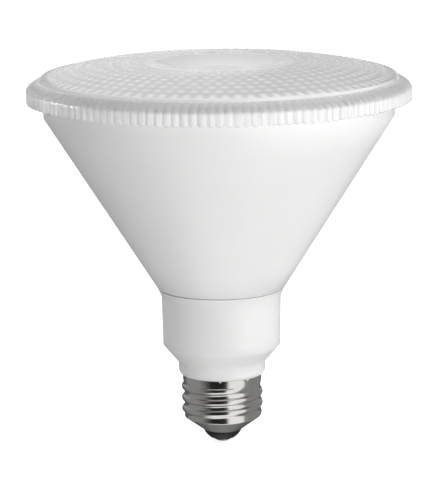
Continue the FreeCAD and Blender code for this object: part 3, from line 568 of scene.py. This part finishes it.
def make_screw_shell():
    """The rolled shell, with one wall all over: outside up, over the top edge and down the inside."""
    fine = np.arange(SHELL_STEPS) * (2 * math.pi / SHELL_STEPS)
    coarse = np.arange(SHELL_STEPS // 2) * (4 * math.pi / SHELL_STEPS)
    outside = np.concatenate([
        np.linspace(shell_foot, taper_top - OUTSIDE_TURN_LEAD, OUTSIDE_TAPER_ROWS)[:-1],
        np.linspace(taper_top - OUTSIDE_TURN_LEAD, shell_top - SHELL_EDGE, OUTSIDE_BARREL_ROWS),
    ])
    inside = np.concatenate([
        np.linspace(shell_top - SHELL_EDGE, flare_foot, INSIDE_FLARE_ROWS)[:-1],
        np.linspace(flare_foot, taper_top - INSIDE_TURN_LEAD, INSIDE_BARREL_ROWS)[:-1],
        np.linspace(taper_top - INSIDE_TURN_LEAD, shell_foot + RIM_WALL_RISE, INSIDE_TAPER_ROWS),
    ])
    rings = [circle(shell_radius(fine, level), level, SHELL_STEPS) for level in outside]
    rings.append(circle(SHELL_BAND_RADIUS - SHELL_EDGE, shell_top, SHELL_STEPS))
    rings.append(circle(SHELL_BAND_RADIUS - SHELL_WALL + SHELL_EDGE / 2, shell_top, SHELL_STEPS))
    for level in inside:
        wall = SHELL_WALL if level > taper_top else TAPER_WALL
        radius = np.maximum(shell_radius(coarse, level) - wall, SHELL_RIM_RADIUS)
        rings.append(circle(radius, level, SHELL_STEPS // 2))
    return solid_of_rings("rolled_screw_shell", rings, looped=True, sharp=SHELL_SHARP)


# Base: the insulator in the shell's foot and the contact in the insulator

INSULATOR_STEPS = 192
CONTACT_STEPS = 128
CONTACT_HEIGHT = 1.3 * MM
CONTACT_GAP = 0.2 * MM
CONTACT_FACE_RADIUS = 1.7 * MM
CONTACT_CROWN_HEIGHT = 0.5 * MM
SHANK_RADIUS = 1.1 * MM
SHANK_BORE = 1.15 * MM
INSULATOR_FACE_RADIUS = 3.9 * MM
INSULATOR_BULGE_RADIUS = 5.1 * MM
INSULATOR_BULGE_RISE = 1.0 * MM
INSULATOR_NECK_RADIUS = 5.95 * MM
INSULATOR_RIM_RADIUS = 6.0 * MM
FLANGE_RISE = 3.13 * MM
FLANGE_WALL = 1.55 * MM
INSULATOR_WELL_RADIUS = 3.4 * MM
INSULATOR_WELL_FLOOR = 5.4 * MM


def make_insulator():
    """The moulded plug: a rounded bulge under the rim, the contact's seat and the hidden flange."""
    seat = contact_radius + CONTACT_GAP
    return lathe("moulded_insulator", [
        (SHANK_BORE, CONTACT_HEIGHT),
        (seat, CONTACT_HEIGHT),
        (seat, insulator_foot + 0.08 * MM, 0.1 * MM),
        (INSULATOR_FACE_RADIUS, insulator_foot, 0.6 * MM),
        (INSULATOR_BULGE_RADIUS, insulator_foot + INSULATOR_BULGE_RISE, 2.4 * MM),
        (INSULATOR_NECK_RADIUS, shell_foot - 0.6 * MM, 1.0 * MM),
        (INSULATOR_RIM_RADIUS, shell_foot + 0.2 * MM),
        (flange_radius, shell_foot + FLANGE_RISE),
        (flange_radius, insulator_top),
        (flange_radius - FLANGE_WALL, insulator_top),
        (INSULATOR_WELL_RADIUS, INSULATOR_WELL_FLOOR),
        (SHANK_BORE, INSULATOR_WELL_FLOOR),
    ], INSULATOR_STEPS, looped=True)


def make_contact():
    """The tack: a soldered head with a soft crown, and its shank."""
    return lathe("contact_tack", [
        (0.0, 0.0),
        (CONTACT_FACE_RADIUS, 0.0, 1.4 * MM),
        (contact_radius, CONTACT_CROWN_HEIGHT, 0.3 * MM),
        (contact_radius, CONTACT_HEIGHT),
        (SHANK_RADIUS, CONTACT_HEIGHT),
        (SHANK_RADIUS, contact_top),
        (0.0, contact_top),
    ], CONTACT_STEPS)


# Reflector

BOWL_FOOT_RADIUS = 16.2 * MM
BOWL_MOUTH_RADIUS = 49.4 * MM
BOWL_WALL = 1.3 * MM
BOWL_FLANGE = 1.0 * MM
BOWL_ROWS = 25
BOWL_STEPS = 192


def make_reflector():
    """The bright bowl: a parabola r^2 = r0^2 + k h inside, one wall thick, with a flat flange."""
    flange_foot = bowl_top - BOWL_FLANGE
    share = np.linspace(0, 1, BOWL_ROWS)
    radius = np.sqrt(BOWL_FOOT_RADIUS ** 2 + (BOWL_MOUTH_RADIUS ** 2 - BOWL_FOOT_RADIUS ** 2) * share)
    inside = np.stack([radius, bowl_foot + (bowl_top - bowl_foot) * share], axis=1)
    outside = np.stack([radius + BOWL_WALL, bowl_foot + (flange_foot - bowl_foot) * share], axis=1)
    flange = [(bowl_radius, flange_foot), (bowl_radius, bowl_top)]
    section = np.concatenate([inside[::-1], outside, flange])
    rings = [circle(across, level, BOWL_STEPS) for across, level in section]
    return solid_of_rings("reflector_bowl", rings, looped=True)


# Shader tools

def node_of(tree, kind, **settings):
    """A new shader node with its settings."""
    node = tree.nodes.new(kind)
    for name, value in settings.items():
        setattr(node, name, value)
    return node


def feed(tree, socket, value):
    """Links an input to a socket, or sets it to a value."""
    if isinstance(value, bpy.types.NodeSocket):
        tree.links.new(value, socket)
    else:
        socket.default_value = value


def put(tree, node, **values):
    """Feeds a node's inputs, by name with spaces as underscores."""
    for name, value in values.items():
        feed(tree, node.inputs[name.replace("_", " ")], value)
    return node


def worked_out(tree, operation, first, second):
    """The result of a Math node on two inputs."""
    node = node_of(tree, "ShaderNodeMath", operation=operation)
    feed(tree, node.inputs[0], first)
    feed(tree, node.inputs[1], second)
    return node.outputs[0]


def noise(tree, place, scale, detail, roughness):
    """A noise over a place, from 0 to 1."""
    node = node_of(tree, "ShaderNodeTexNoise")
    put(tree, node, Vector=place, Scale=scale, Detail=detail, Roughness=roughness)
    return node.outputs["Fac"]


def mapped(tree, value, from_low, from_high):
    """A value carried from one range to 0..1 and held there. A falling range turns it round."""
    node = put(tree, node_of(tree, "ShaderNodeMapRange"), From_Min=from_low, From_Max=from_high)
    feed(tree, node.inputs["Value"], value)
    return node.outputs["Result"]


def ranged(tree, mask, low, high):
    """A mask carried from 0..1 to low..high."""
    node = put(tree, node_of(tree, "ShaderNodeMapRange"), To_Min=low, To_Max=high)
    feed(tree, node.inputs["Value"], mask)
    return node.outputs["Result"]


def between(tree, value, low, high, soft):
    """A mask that is 1 where a value lies between two others, with soft ends."""
    rising = mapped(tree, value, low - soft, low + soft)
    falling = mapped(tree, value, high + soft, high - soft)
    return worked_out(tree, "MULTIPLY", rising, falling)


def grey(value):
    """A grey as red, green and blue."""
    return (value, value, value)


def colour_between(tree, mask, first, second):
    """A colour between two colours by a mask. Each is a socket, or red, green and blue."""
    node = node_of(tree, "ShaderNodeMix", data_type="RGBA")
    feed(tree, node.inputs["Factor"], mask)
    for name, colour in (("A", first), ("B", second)):
        plain = isinstance(colour, tuple)
        feed(tree, node.inputs[name], (*colour, 1.0) if plain else colour)
    return next(socket for socket in node.outputs if socket.type == "RGBA")


def bumped(tree, height, distance, strength=0.4):
    """A bump normal from a height."""
    node = put(tree, node_of(tree, "ShaderNodeBump"), Strength=strength, Distance=distance)
    feed(tree, node.inputs["Height"], height)
    return node.outputs["Normal"]


def object_place(tree):
    """The place on the object, in metres, and its X, Y and Z."""
    place = node_of(tree, "ShaderNodeTexCoord").outputs["Object"]
    split = put(tree, node_of(tree, "ShaderNodeSeparateXYZ"), Vector=place)
    return place, split.outputs["X"], split.outputs["Y"], split.outputs["Z"]


def new_group(name, inputs, outputs):
    """An empty shader group with named number inputs and outputs."""
    group = bpy.data.node_groups.new(name, "ShaderNodeTree")
    for label, value in inputs.items():
        socket = group.interface.new_socket(label, in_out="INPUT", socket_type="NodeSocketFloat")
        socket.default_value = value
    for label in outputs:
        group.interface.new_socket(label, in_out="OUTPUT", socket_type="NodeSocketFloat")
    return group, group.nodes.new("NodeGroupInput").outputs, group.nodes.new("NodeGroupOutput")


def new_material(name):
    """A material with its Principled shader, and the tree to add to."""
    material = bpy.data.materials.new(name)
    material.use_nodes = True
    tree = material.node_tree
    return material, tree, tree.nodes["Principled BSDF"]


# Shader groups

STREAK_DRAW = 0.002
SEAM_SHADE_HALF_WIDTH = 0.14 * MM
SEAM_SHADE_SOFT = 0.05 * MM
ZONE_SOFT = 0.4 * MM
SHOULDER_ZONE_SOFT = 0.5 * MM
SHOULDER_ZONE_DROP = 0.2 * MM

# A metre, past any part of the lamp, for zones that are open to one side
BEYOND = 1.0


def make_moulded_group():
    """Moulded plastic: a broad soft mottle and a fine grain, both from 0 to 1."""
    given_scales = {"Mottle Scale": 60.0, "Grain Scale": 2500.0}
    group, given, result = new_group("moulded_surface", given_scales, ["Mottle", "Grain"])
    place, _, _, _ = object_place(group)
    put(group, result, Mottle=noise(group, place, given["Mottle Scale"], 3.0, 0.55),
        Grain=noise(group, place, given["Grain Scale"], 2.0, 0.6))
    return group


def make_turned_group():
    """Rolled or turned metal: fine streaks round the axis and broad stains, both from 0 to 1.

    The streaks are noise over (c a, 0, z), where a is the angle and a small c draws them out.
    """
    given_scales = {"Streak Scale": 900.0, "Stain Scale": 120.0}
    group, given, result = new_group("turned_metal", given_scales, ["Streaks", "Stains"])
    place, x, y, z = object_place(group)
    angle = worked_out(group, "ARCTAN2", y, x)
    slow = worked_out(group, "MULTIPLY", angle, STREAK_DRAW)
    drawn = put(group, node_of(group, "ShaderNodeCombineXYZ"), X=slow, Z=z).outputs["Vector"]
    put(group, result, Streaks=noise(group, drawn, given["Streak Scale"], 4.0, 0.7),
        Stains=noise(group, place, given["Stain Scale"], 3.0, 0.6))
    return group


def make_seam_group():
    """The shade in the seam between cone and collar: its depth at the seam's level, 0 away from it."""
    group, given, result = new_group("seam_shade", {"Depth": 0.8}, ["Shade"])
    _, _, _, z = object_place(group)
    line = between(group, z, seam_level - SEAM_SHADE_HALF_WIDTH, seam_level + SEAM_SHADE_HALF_WIDTH,
                   SEAM_SHADE_SOFT)
    put(group, result, Shade=worked_out(group, "MULTIPLY", line, given["Depth"]))
    return group


def make_lens_zones_group():
    """The lens by radius and level: its dome, its sloped shoulder, and fine upright streaks."""
    labels = ["Dome", "Shoulder", "Streaks"]
    group, given, result = new_group("lens_zones", {"Streak Scale": 1300.0}, labels)
    _, x, y, z = object_place(group)
    flat = put(group, node_of(group, "ShaderNodeCombineXYZ"), X=x, Y=y).outputs["Vector"]
    length = node_of(group, "ShaderNodeVectorMath", operation="LENGTH")
    feed(group, length.inputs[0], flat)
    radius = length.outputs["Value"]
    outer = between(group, radius, SHOULDER_TOP_RADIUS - ZONE_SOFT, BEYOND, ZONE_SOFT)
    raised = between(group, z, lens_foot + SKIRT_TOP_RISE - SHOULDER_ZONE_DROP, BEYOND,
                     SHOULDER_ZONE_SOFT)
    put(group, result, Dome=between(group, radius, -BEYOND, DOME_FOOT_RADIUS, ZONE_SOFT),
        Shoulder=worked_out(group, "MULTIPLY", outer, raised),
        Streaks=noise(group, flat, given["Streak Scale"], 2.0, 0.6))
    return group


moulded_surface = make_moulded_group()
turned_metal = make_turned_group()
seam_shade = make_seam_group()
lens_zones = make_lens_zones_group()


# Finishes

PLASTIC_GRAIN = 0.02 * MM
METAL_STREAK = 0.01 * MM
LENS_GRAIN = 0.002 * MM
# Painted shade in the seam between cone and collar: how strong it is, and its dark grey
SEAM_SHADE_DEPTH = 0.5
SEAM_SHADE_COLOUR = grey(0.1)

# Moulded finishes: the colours of the mottle, the roughness, and what differs from the usual
MOULDED = {
    "white_housing": dict(light=(0.86, 0.86, 0.855), dark=(0.83, 0.83, 0.825), roughness=0.34,
                          Coat_Weight=0.15, Coat_Roughness=0.2),
    "white_collar": dict(light=(0.81, 0.81, 0.805), dark=(0.785, 0.785, 0.78), roughness=0.38,
                         Coat_Weight=0.1, Coat_Roughness=0.25),
    "reflector_white": dict(light=grey(0.88), dark=grey(0.84), roughness=0.3),
    "board_white": dict(light=(0.82, 0.82, 0.81), dark=(0.76, 0.76, 0.75), roughness=0.4,
                        mottle_scale=200.0),
    "phosphor": dict(light=(0.86, 0.70, 0.22), dark=(0.78, 0.60, 0.16), roughness=0.45,
                     mottle_scale=700.0),
    "thermal_pad_grey": dict(light=(0.38, 0.40, 0.42), dark=(0.30, 0.32, 0.34), roughness=0.7),
    "terminal_plastic": dict(light=(0.80, 0.80, 0.78), dark=(0.72, 0.72, 0.70), roughness=0.4),
    "circuit_board": dict(light=(0.05, 0.26, 0.13), dark=(0.03, 0.18, 0.09), roughness=0.4,
                          mottle_scale=350.0),
    "transformer_tape": dict(light=(0.80, 0.62, 0.12), dark=(0.66, 0.48, 0.08), roughness=0.35,
                             mottle_scale=250.0),
    "capacitor_sleeve": dict(light=(0.04, 0.05, 0.09), dark=(0.02, 0.03, 0.06), roughness=0.3,
                             mottle_scale=250.0),
    "film_capacitor_box": dict(light=(0.62, 0.16, 0.05), dark=(0.48, 0.11, 0.03), roughness=0.3,
                               mottle_scale=300.0),
    "chip_black": dict(light=(0.035, 0.035, 0.038), dark=(0.02, 0.02, 0.022), roughness=0.5,
                       mottle_scale=400.0),
    "resistor_body": dict(light=(0.30, 0.44, 0.50), dark=(0.20, 0.32, 0.38), roughness=0.45,
                          mottle_scale=400.0),
    "wire_black": dict(light=grey(0.03), dark=grey(0.015), roughness=0.4),
    "wire_white": dict(light=(0.80, 0.80, 0.78), dark=(0.70, 0.70, 0.68), roughness=0.4),
    "wire_red": dict(light=(0.62, 0.04, 0.03), dark=(0.45, 0.02, 0.02), roughness=0.4),
    "insulator_black": dict(light=grey(0.013), dark=grey(0.008), roughness=0.42,
                            Specular_IOR_Level=0.3),
}

# Metal finishes: the colours of the stains, the roughness, and what differs from the usual
METALS = {
    "cast_aluminium": dict(light=(0.72, 0.73, 0.74), dark=(0.60, 0.61, 0.62), roughness=0.42),
    "steel_screw": dict(light=grey(0.66), dark=grey(0.52), roughness=0.3, streak_scale=2500.0),
    "nickel_shell": dict(light=(0.72, 0.71, 0.69), dark=(0.62, 0.61, 0.59), roughness=0.2),
    "contact_metal": dict(light=(0.34, 0.33, 0.31), dark=(0.22, 0.21, 0.20), roughness=0.38,
                          streak_scale=600.0),
}


def moulded(name, light, dark, roughness, mottle_scale=60.0, grain_scale=2500.0, **sockets):
    """A moulded material: colour by the mottle, roughness and bump by the grain."""
    material, tree, shader = new_material(name)
    surface = node_of(tree, "ShaderNodeGroup", node_tree=moulded_surface)
    put(tree, surface, Mottle_Scale=mottle_scale, Grain_Scale=grain_scale)
    grain = surface.outputs["Grain"]
    put(tree, shader,
        Base_Color=colour_between(tree, surface.outputs["Mottle"], dark, light),
        Roughness=ranged(tree, grain, roughness * 0.85, roughness * 1.15),
        Normal=bumped(tree, grain, PLASTIC_GRAIN), **sockets)
    return material


def turned(name, light, dark, roughness, streak_scale=900.0, stain_scale=120.0, **sockets):
    """A metal finish: colour by stains, roughness and bump by the streaks round the axis."""
    material, tree, shader = new_material(name)
    surface = node_of(tree, "ShaderNodeGroup", node_tree=turned_metal)
    put(tree, surface, Streak_Scale=streak_scale, Stain_Scale=stain_scale)
    streaks = surface.outputs["Streaks"]
    put(tree, shader,
        Base_Color=colour_between(tree, surface.outputs["Stains"], dark, light),
        Roughness=ranged(tree, streaks, roughness * 0.8, roughness * 1.2),
        Normal=bumped(tree, streaks, METAL_STREAK), Metallic=1.0, **sockets)
    return material


def add_seam(material):
    """Lays the shade of the seam over a housing material's colour."""
    tree = material.node_tree
    shader = tree.nodes["Principled BSDF"]
    shade = node_of(tree, "ShaderNodeGroup", node_tree=seam_shade)
    put(tree, shade, Depth=SEAM_SHADE_DEPTH)
    plain = shader.inputs["Base Color"].links[0].from_socket
    put(tree, shader, Base_Color=colour_between(tree, shade.outputs["Shade"], plain, SEAM_SHADE_COLOUR))


def clear_plastic(name):
    """Clear lens plastic, hazy on its dome, with painted shade on its shoulder, between its beads and in
    its recess, that lets the light through.
    """
    material, tree, shader = new_material(name)
    surface = node_of(tree, "ShaderNodeGroup", node_tree=moulded_surface)
    put(tree, surface, Grain_Scale=1800.0)
    zones = node_of(tree, "ShaderNodeGroup", node_tree=lens_zones)
    dome = zones.outputs["Dome"]
    painted_shade_tone = node_of(tree, "ShaderNodeAttribute", attribute_name="painted_shade_tone").outputs["Fac"]
    streaks = ranged(tree, zones.outputs["Streaks"], -0.6, 1.6)
    streaked = colour_between(tree, streaks, grey(0.74), grey(0.96))
    # Painted shade: the tone darkens the dome's colour between the beads and in parts of the recess
    beaded = colour_between(tree, painted_shade_tone, grey(0.72), grey(0.99))
    plain = colour_between(tree, dome, streaked, beaded)
    # Painted shade: the shoulder's colour is darkened to a mid grey
    put(tree, shader,
        Base_Color=colour_between(tree, zones.outputs["Shoulder"], plain, grey(0.62)),
        Roughness=ranged(tree, dome, 0.07, 0.13),
        Normal=bumped(tree, surface.outputs["Grain"], LENS_GRAIN, 0.3),
        Transmission_Weight=0.55, IOR=1.49)
    shadow_ray = node_of(tree, "ShaderNodeLightPath").outputs["Is Shadow Ray"]
    passing = put(tree, node_of(tree, "ShaderNodeBsdfTransparent"), Color=(*grey(0.85), 1.0))
    mixed = node_of(tree, "ShaderNodeMixShader")
    feed(tree, mixed.inputs["Fac"], shadow_ray)
    feed(tree, mixed.inputs[1], shader.outputs["BSDF"])
    feed(tree, mixed.inputs[2], passing.outputs["BSDF"])
    feed(tree, tree.nodes["Material Output"].inputs["Surface"], mixed.outputs["Shader"])
    return material


def make_finishes():
    """One material for each of the record's slots."""
    finishes = {"clear_lens": clear_plastic("clear_lens")}
    for name, look in MOULDED.items():
        finishes[name] = moulded(name, **look)
    for name, look in METALS.items():
        finishes[name] = turned(name, **look)
    add_seam(finishes["white_housing"])
    add_seam(finishes["white_collar"])
    return finishes


# The lamp: CAD nodes that stay, by their slots, and the pieces that take a node's place

NODE_SLOTS = {
    "heat_sink": "cast_aluminium",
    "thermal_pad": "thermal_pad_grey",
    "led_board": "board_white",
    "led_packages": "phosphor",
    "led_connector": "terminal_plastic",
    "board_screws": "steel_screw",
    "housing_screws": "steel_screw",
    "driver_board": "circuit_board",
    "transformer": "transformer_tape",
    "input_capacitor": "capacitor_sleeve",
    "output_capacitor": "capacitor_sleeve",
    "filter_inductor": "chip_black",
    "film_capacitor": "film_capacitor_box",
    "bridge_rectifier": "chip_black",
    "driver_chip": "chip_black",
    "fuse_resistor": "resistor_body",
    "live_wire": "wire_black",
    "neutral_wire": "wire_white",
    "led_wire_positive": "wire_red",
    "led_wire_negative": "wire_black",
}


def dress_nodes(finishes):
    """Gives each CAD node that stays its slot's material."""
    for node, slot in NODE_SLOTS.items():
        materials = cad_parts[node].data.materials
        materials.clear()
        materials.append(finishes[slot])


def dress_piece(piece, node, slot, finishes):
    """Puts a new piece in the place of its CAD node, on the one body, with its slot's material."""
    piece.data.materials.append(finishes[slot])
    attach(piece, "root")
    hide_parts(node)


def make_lamp():
    """Every piece of the lamp with its material."""
    finishes = make_finishes()
    dress_nodes(finishes)
    dress_piece(make_lens(), "lens", "clear_lens", finishes)
    cone = cut_seam(smooth_copy("housing_cone", "white_cone"), 1)
    collar = cut_seam(smooth_copy("collar", "white_driver_housing"), -1)
    dress_piece(cone, "housing_cone", "white_housing", finishes)
    dress_piece(collar, "collar", "white_collar", finishes)
    dress_piece(make_reflector(), "reflector", "reflector_white", finishes)
    dress_piece(make_screw_shell(), "screw_shell", "nickel_shell", finishes)
    dress_piece(make_insulator(), "base_insulator", "insulator_black", finishes)
    dress_piece(make_contact(), "centre_contact", "contact_metal", finishes)


# Camera

FOCAL_PIXELS = 2545.0
IMAGE_HEIGHT_PIXELS = 480.0
SENSOR = 36.0
CAMERA_PLACE = Vector((0.0, -0.800, 0.22355))
CAMERA_TARGET = Vector((0.0, 0.0, 0.06955))
CAMERA_PAN = 0.001132
CAMERA_TILT = -0.004139
CAMERA_ROLL = math.radians(0.65)


def make_camera():
    """The photograph's view: a long lens from a little above, turned by a slight roll."""
    forward = (CAMERA_TARGET - CAMERA_PLACE).normalized()
    right = forward.cross(Vector((0, 0, 1))).normalized()
    up = right.cross(forward)
    look = (forward + right * CAMERA_PAN + up * CAMERA_TILT).normalized()
    tipped_up = up * math.cos(CAMERA_ROLL) + right * math.sin(CAMERA_ROLL)
    across = look.cross(tipped_up).normalized()
    upright = across.cross(look)
    camera = in_scene("photo_camera", bpy.data.cameras.new("photo_camera"))
    camera.data.sensor_fit = "VERTICAL"
    camera.data.sensor_height = SENSOR
    camera.data.lens = FOCAL_PIXELS * SENSOR / IMAGE_HEIGHT_PIXELS
    camera.data.clip_start = 0.01
    camera.data.clip_end = 50.0
    turn = Matrix((across, upright, -look)).transposed().to_4x4()
    camera.matrix_world = Matrix.Translation(CAMERA_PLACE) @ turn
    bpy.context.scene.camera = camera


# Studio

ROOM_LIGHT = 0.3
FLOOR_GLOW = 0.72
FLOOR_HALF = 6.0
CARD_DISTANCE = 0.45
CARD_COLUMNS = 24
CARD_ROWS = 16

# Each softbox: its name, its place, what it is aimed at, width, height and power in watts
SOFTBOXES = (
    ("key", (0.58, -0.95, 0.22), (0.0, 0.0, 0.06), 0.6, 0.9, 9.8),
    ("side", (1.05, 0.10, 0.30), (0.0, 0.0, 0.07), 0.5, 0.9, 3.6),
    ("top", (-0.45, 0.50, 0.60), (0.0, 0.0, 0.12), 0.35, 0.35, 4.2),
)

# Each card: its name, its azimuths and elevations in degrees, and how bright it is
CARDS = (
    ("dark_front_card", (-38, 16), (-38, 90), 0.02),
    ("dim_left_card", (-50, -38), (-38, 90), 0.1),
    ("dusky_left_card", (-64, -50), (-38, 90), 0.22),
    ("grey_left_card", (-130, -64), (-45, 45), 0.31),
    ("dark_upper_left_card", (-130, -64), (45, 90), 0.1),
    ("bright_right_card", (16, 66), (-38, 50), 1.15),
    ("grey_upper_right_card", (16, 68), (50, 90), 0.25),
    ("grey_right_card", (68, 150), (-45, 45), 0.29),
    ("dark_right_card", (68, 150), (45, 90), 0.1),
    ("dark_back_card", (150, 230), (-45, 4), 0.12),
    ("grey_back_right_card", (150, 178), (4, 28), 0.6),
    ("dim_back_right_card", (150, 178), (28, 90), 0.4),
    ("pale_back_left_card", (178, 200), (4, 28), 0.72),
    ("grey_back_left_card", (178, 230), (28, 90), 0.7),
    ("grey_far_left_card", (200, 230), (4, 28), 0.4),
    ("dim_front_table_card", (-66, -44), (-66, -38), 0.5),
    ("bright_front_table_card", (-44, 68), (-66, -38), 1.2),
    ("grey_back_table_card", (68, 294), (-66, -45), 0.22),
    ("bright_table_card", (-180, 180), (-90, -66), 1.1),
)


def make_softbox(name, place, target, width, height, power):
    """A soft rectangular lamp aimed at a point. Gloss shows the cards in its stead."""
    lamp = bpy.data.lights.new(name, "AREA")
    lamp.shape = "RECTANGLE"
    lamp.size = width
    lamp.size_y = height
    lamp.energy = power
    box = in_scene(name, lamp)
    box.location = place
    box.rotation_euler = (Vector(target) - Vector(place)).to_track_quat("-Z", "Y").to_euler()
    box.visible_camera = False
    box.visible_glossy = False


def make_world():
    """A plain grey room for light, seen as white by the camera, in gloss and through clear plastic."""
    world = bpy.data.worlds.new("studio")
    world.use_nodes = True
    bpy.context.scene.world = world
    tree = world.node_tree
    path = node_of(tree, "ShaderNodeLightPath").outputs
    direct = worked_out(tree, "MAXIMUM", path["Is Camera Ray"], path["Is Transmission Ray"])
    seen = worked_out(tree, "MAXIMUM", direct, path["Is Glossy Ray"])
    strength = ranged(tree, seen, ROOM_LIGHT, 1.0)
    put(tree, tree.nodes["Background"], Color=(*grey(1.0), 1.0), Strength=strength)


def make_floor():
    """A wide pale floor: white to the camera by its own colour, with the object's shadow kept."""
    mesh = bpy.data.meshes.new("floor")
    corners = [(-FLOOR_HALF, -FLOOR_HALF, 0), (FLOOR_HALF, -FLOOR_HALF, 0),
               (FLOOR_HALF, FLOOR_HALF, 0), (-FLOOR_HALF, FLOOR_HALF, 0)]
    mesh.from_pydata(corners, [], [(0, 1, 2, 3)])
    floor = in_scene("floor", mesh)
    material, tree, shader = new_material("pale_floor")
    surface = node_of(tree, "ShaderNodeGroup", node_tree=moulded_surface)
    put(tree, surface, Mottle_Scale=3.0)
    path = node_of(tree, "ShaderNodeLightPath").outputs
    seen = worked_out(tree, "MAXIMUM", path["Is Camera Ray"], path["Is Transmission Ray"])
    put(tree, shader,
        Base_Color=colour_between(tree, surface.outputs["Mottle"], grey(0.88), grey(0.9)),
        Roughness=0.9, Specular_IOR_Level=0.1, Emission_Color=(*grey(1.0), 1.0),
        Emission_Strength=ranged(tree, seen, 0.0, FLOOR_GLOW))
    mesh.materials.append(material)
    floor.visible_glossy = False


def make_card(name, azimuths, elevations, strength):
    """A card that only gloss shows: a patch of a sphere about the shell's foot.

    Its points are (R cos e sin a, -R cos e cos a, R sin e). The azimuth a runs to the right from
    the camera's side and the elevation e up from level, in degrees.
    """
    across = np.radians(np.linspace(*azimuths, CARD_COLUMNS + 1))
    up = np.radians(np.linspace(*elevations, CARD_ROWS + 1))
    a, e = np.meshgrid(across, up)
    points = np.stack([np.cos(e) * np.sin(a), -np.cos(e) * np.cos(a), np.sin(e)], axis=-1)
    points = CARD_DISTANCE * points.reshape(-1, 3) + [0.0, 0.0, shell_foot]
    row = CARD_COLUMNS + 1
    corner = (np.arange(CARD_ROWS)[:, None] * row + np.arange(CARD_COLUMNS)[None, :]).ravel()
    faces = np.stack([corner, corner + 1, corner + row + 1, corner + row], axis=1)
    mesh = bpy.data.meshes.new(name)
    mesh.from_pydata(points.tolist(), [], faces.tolist())
    card = in_scene(name, mesh)
    material, tree, shader = new_material(name)
    tree.nodes.remove(shader)
    glow = node_of(tree, "ShaderNodeEmission")
    put(tree, glow, Color=(*grey(1.0), 1.0), Strength=strength)
    feed(tree, tree.nodes["Material Output"].inputs["Surface"], glow.outputs["Emission"])
    mesh.materials.append(material)
    card.visible_camera = False
    card.visible_diffuse = False
    card.visible_transmission = False
    card.visible_volume_scatter = False
    card.visible_shadow = False


def make_studio():
    """Floor, room, softboxes and the cards that the metal and the lens show."""
    make_floor()
    make_world()
    for softbox in SOFTBOXES:
        make_softbox(*softbox)
    for card in CARDS:
        make_card(*card)


make_camera()
make_studio()
make_lamp()

bpy.context.scene.view_settings.view_transform = "Standard"
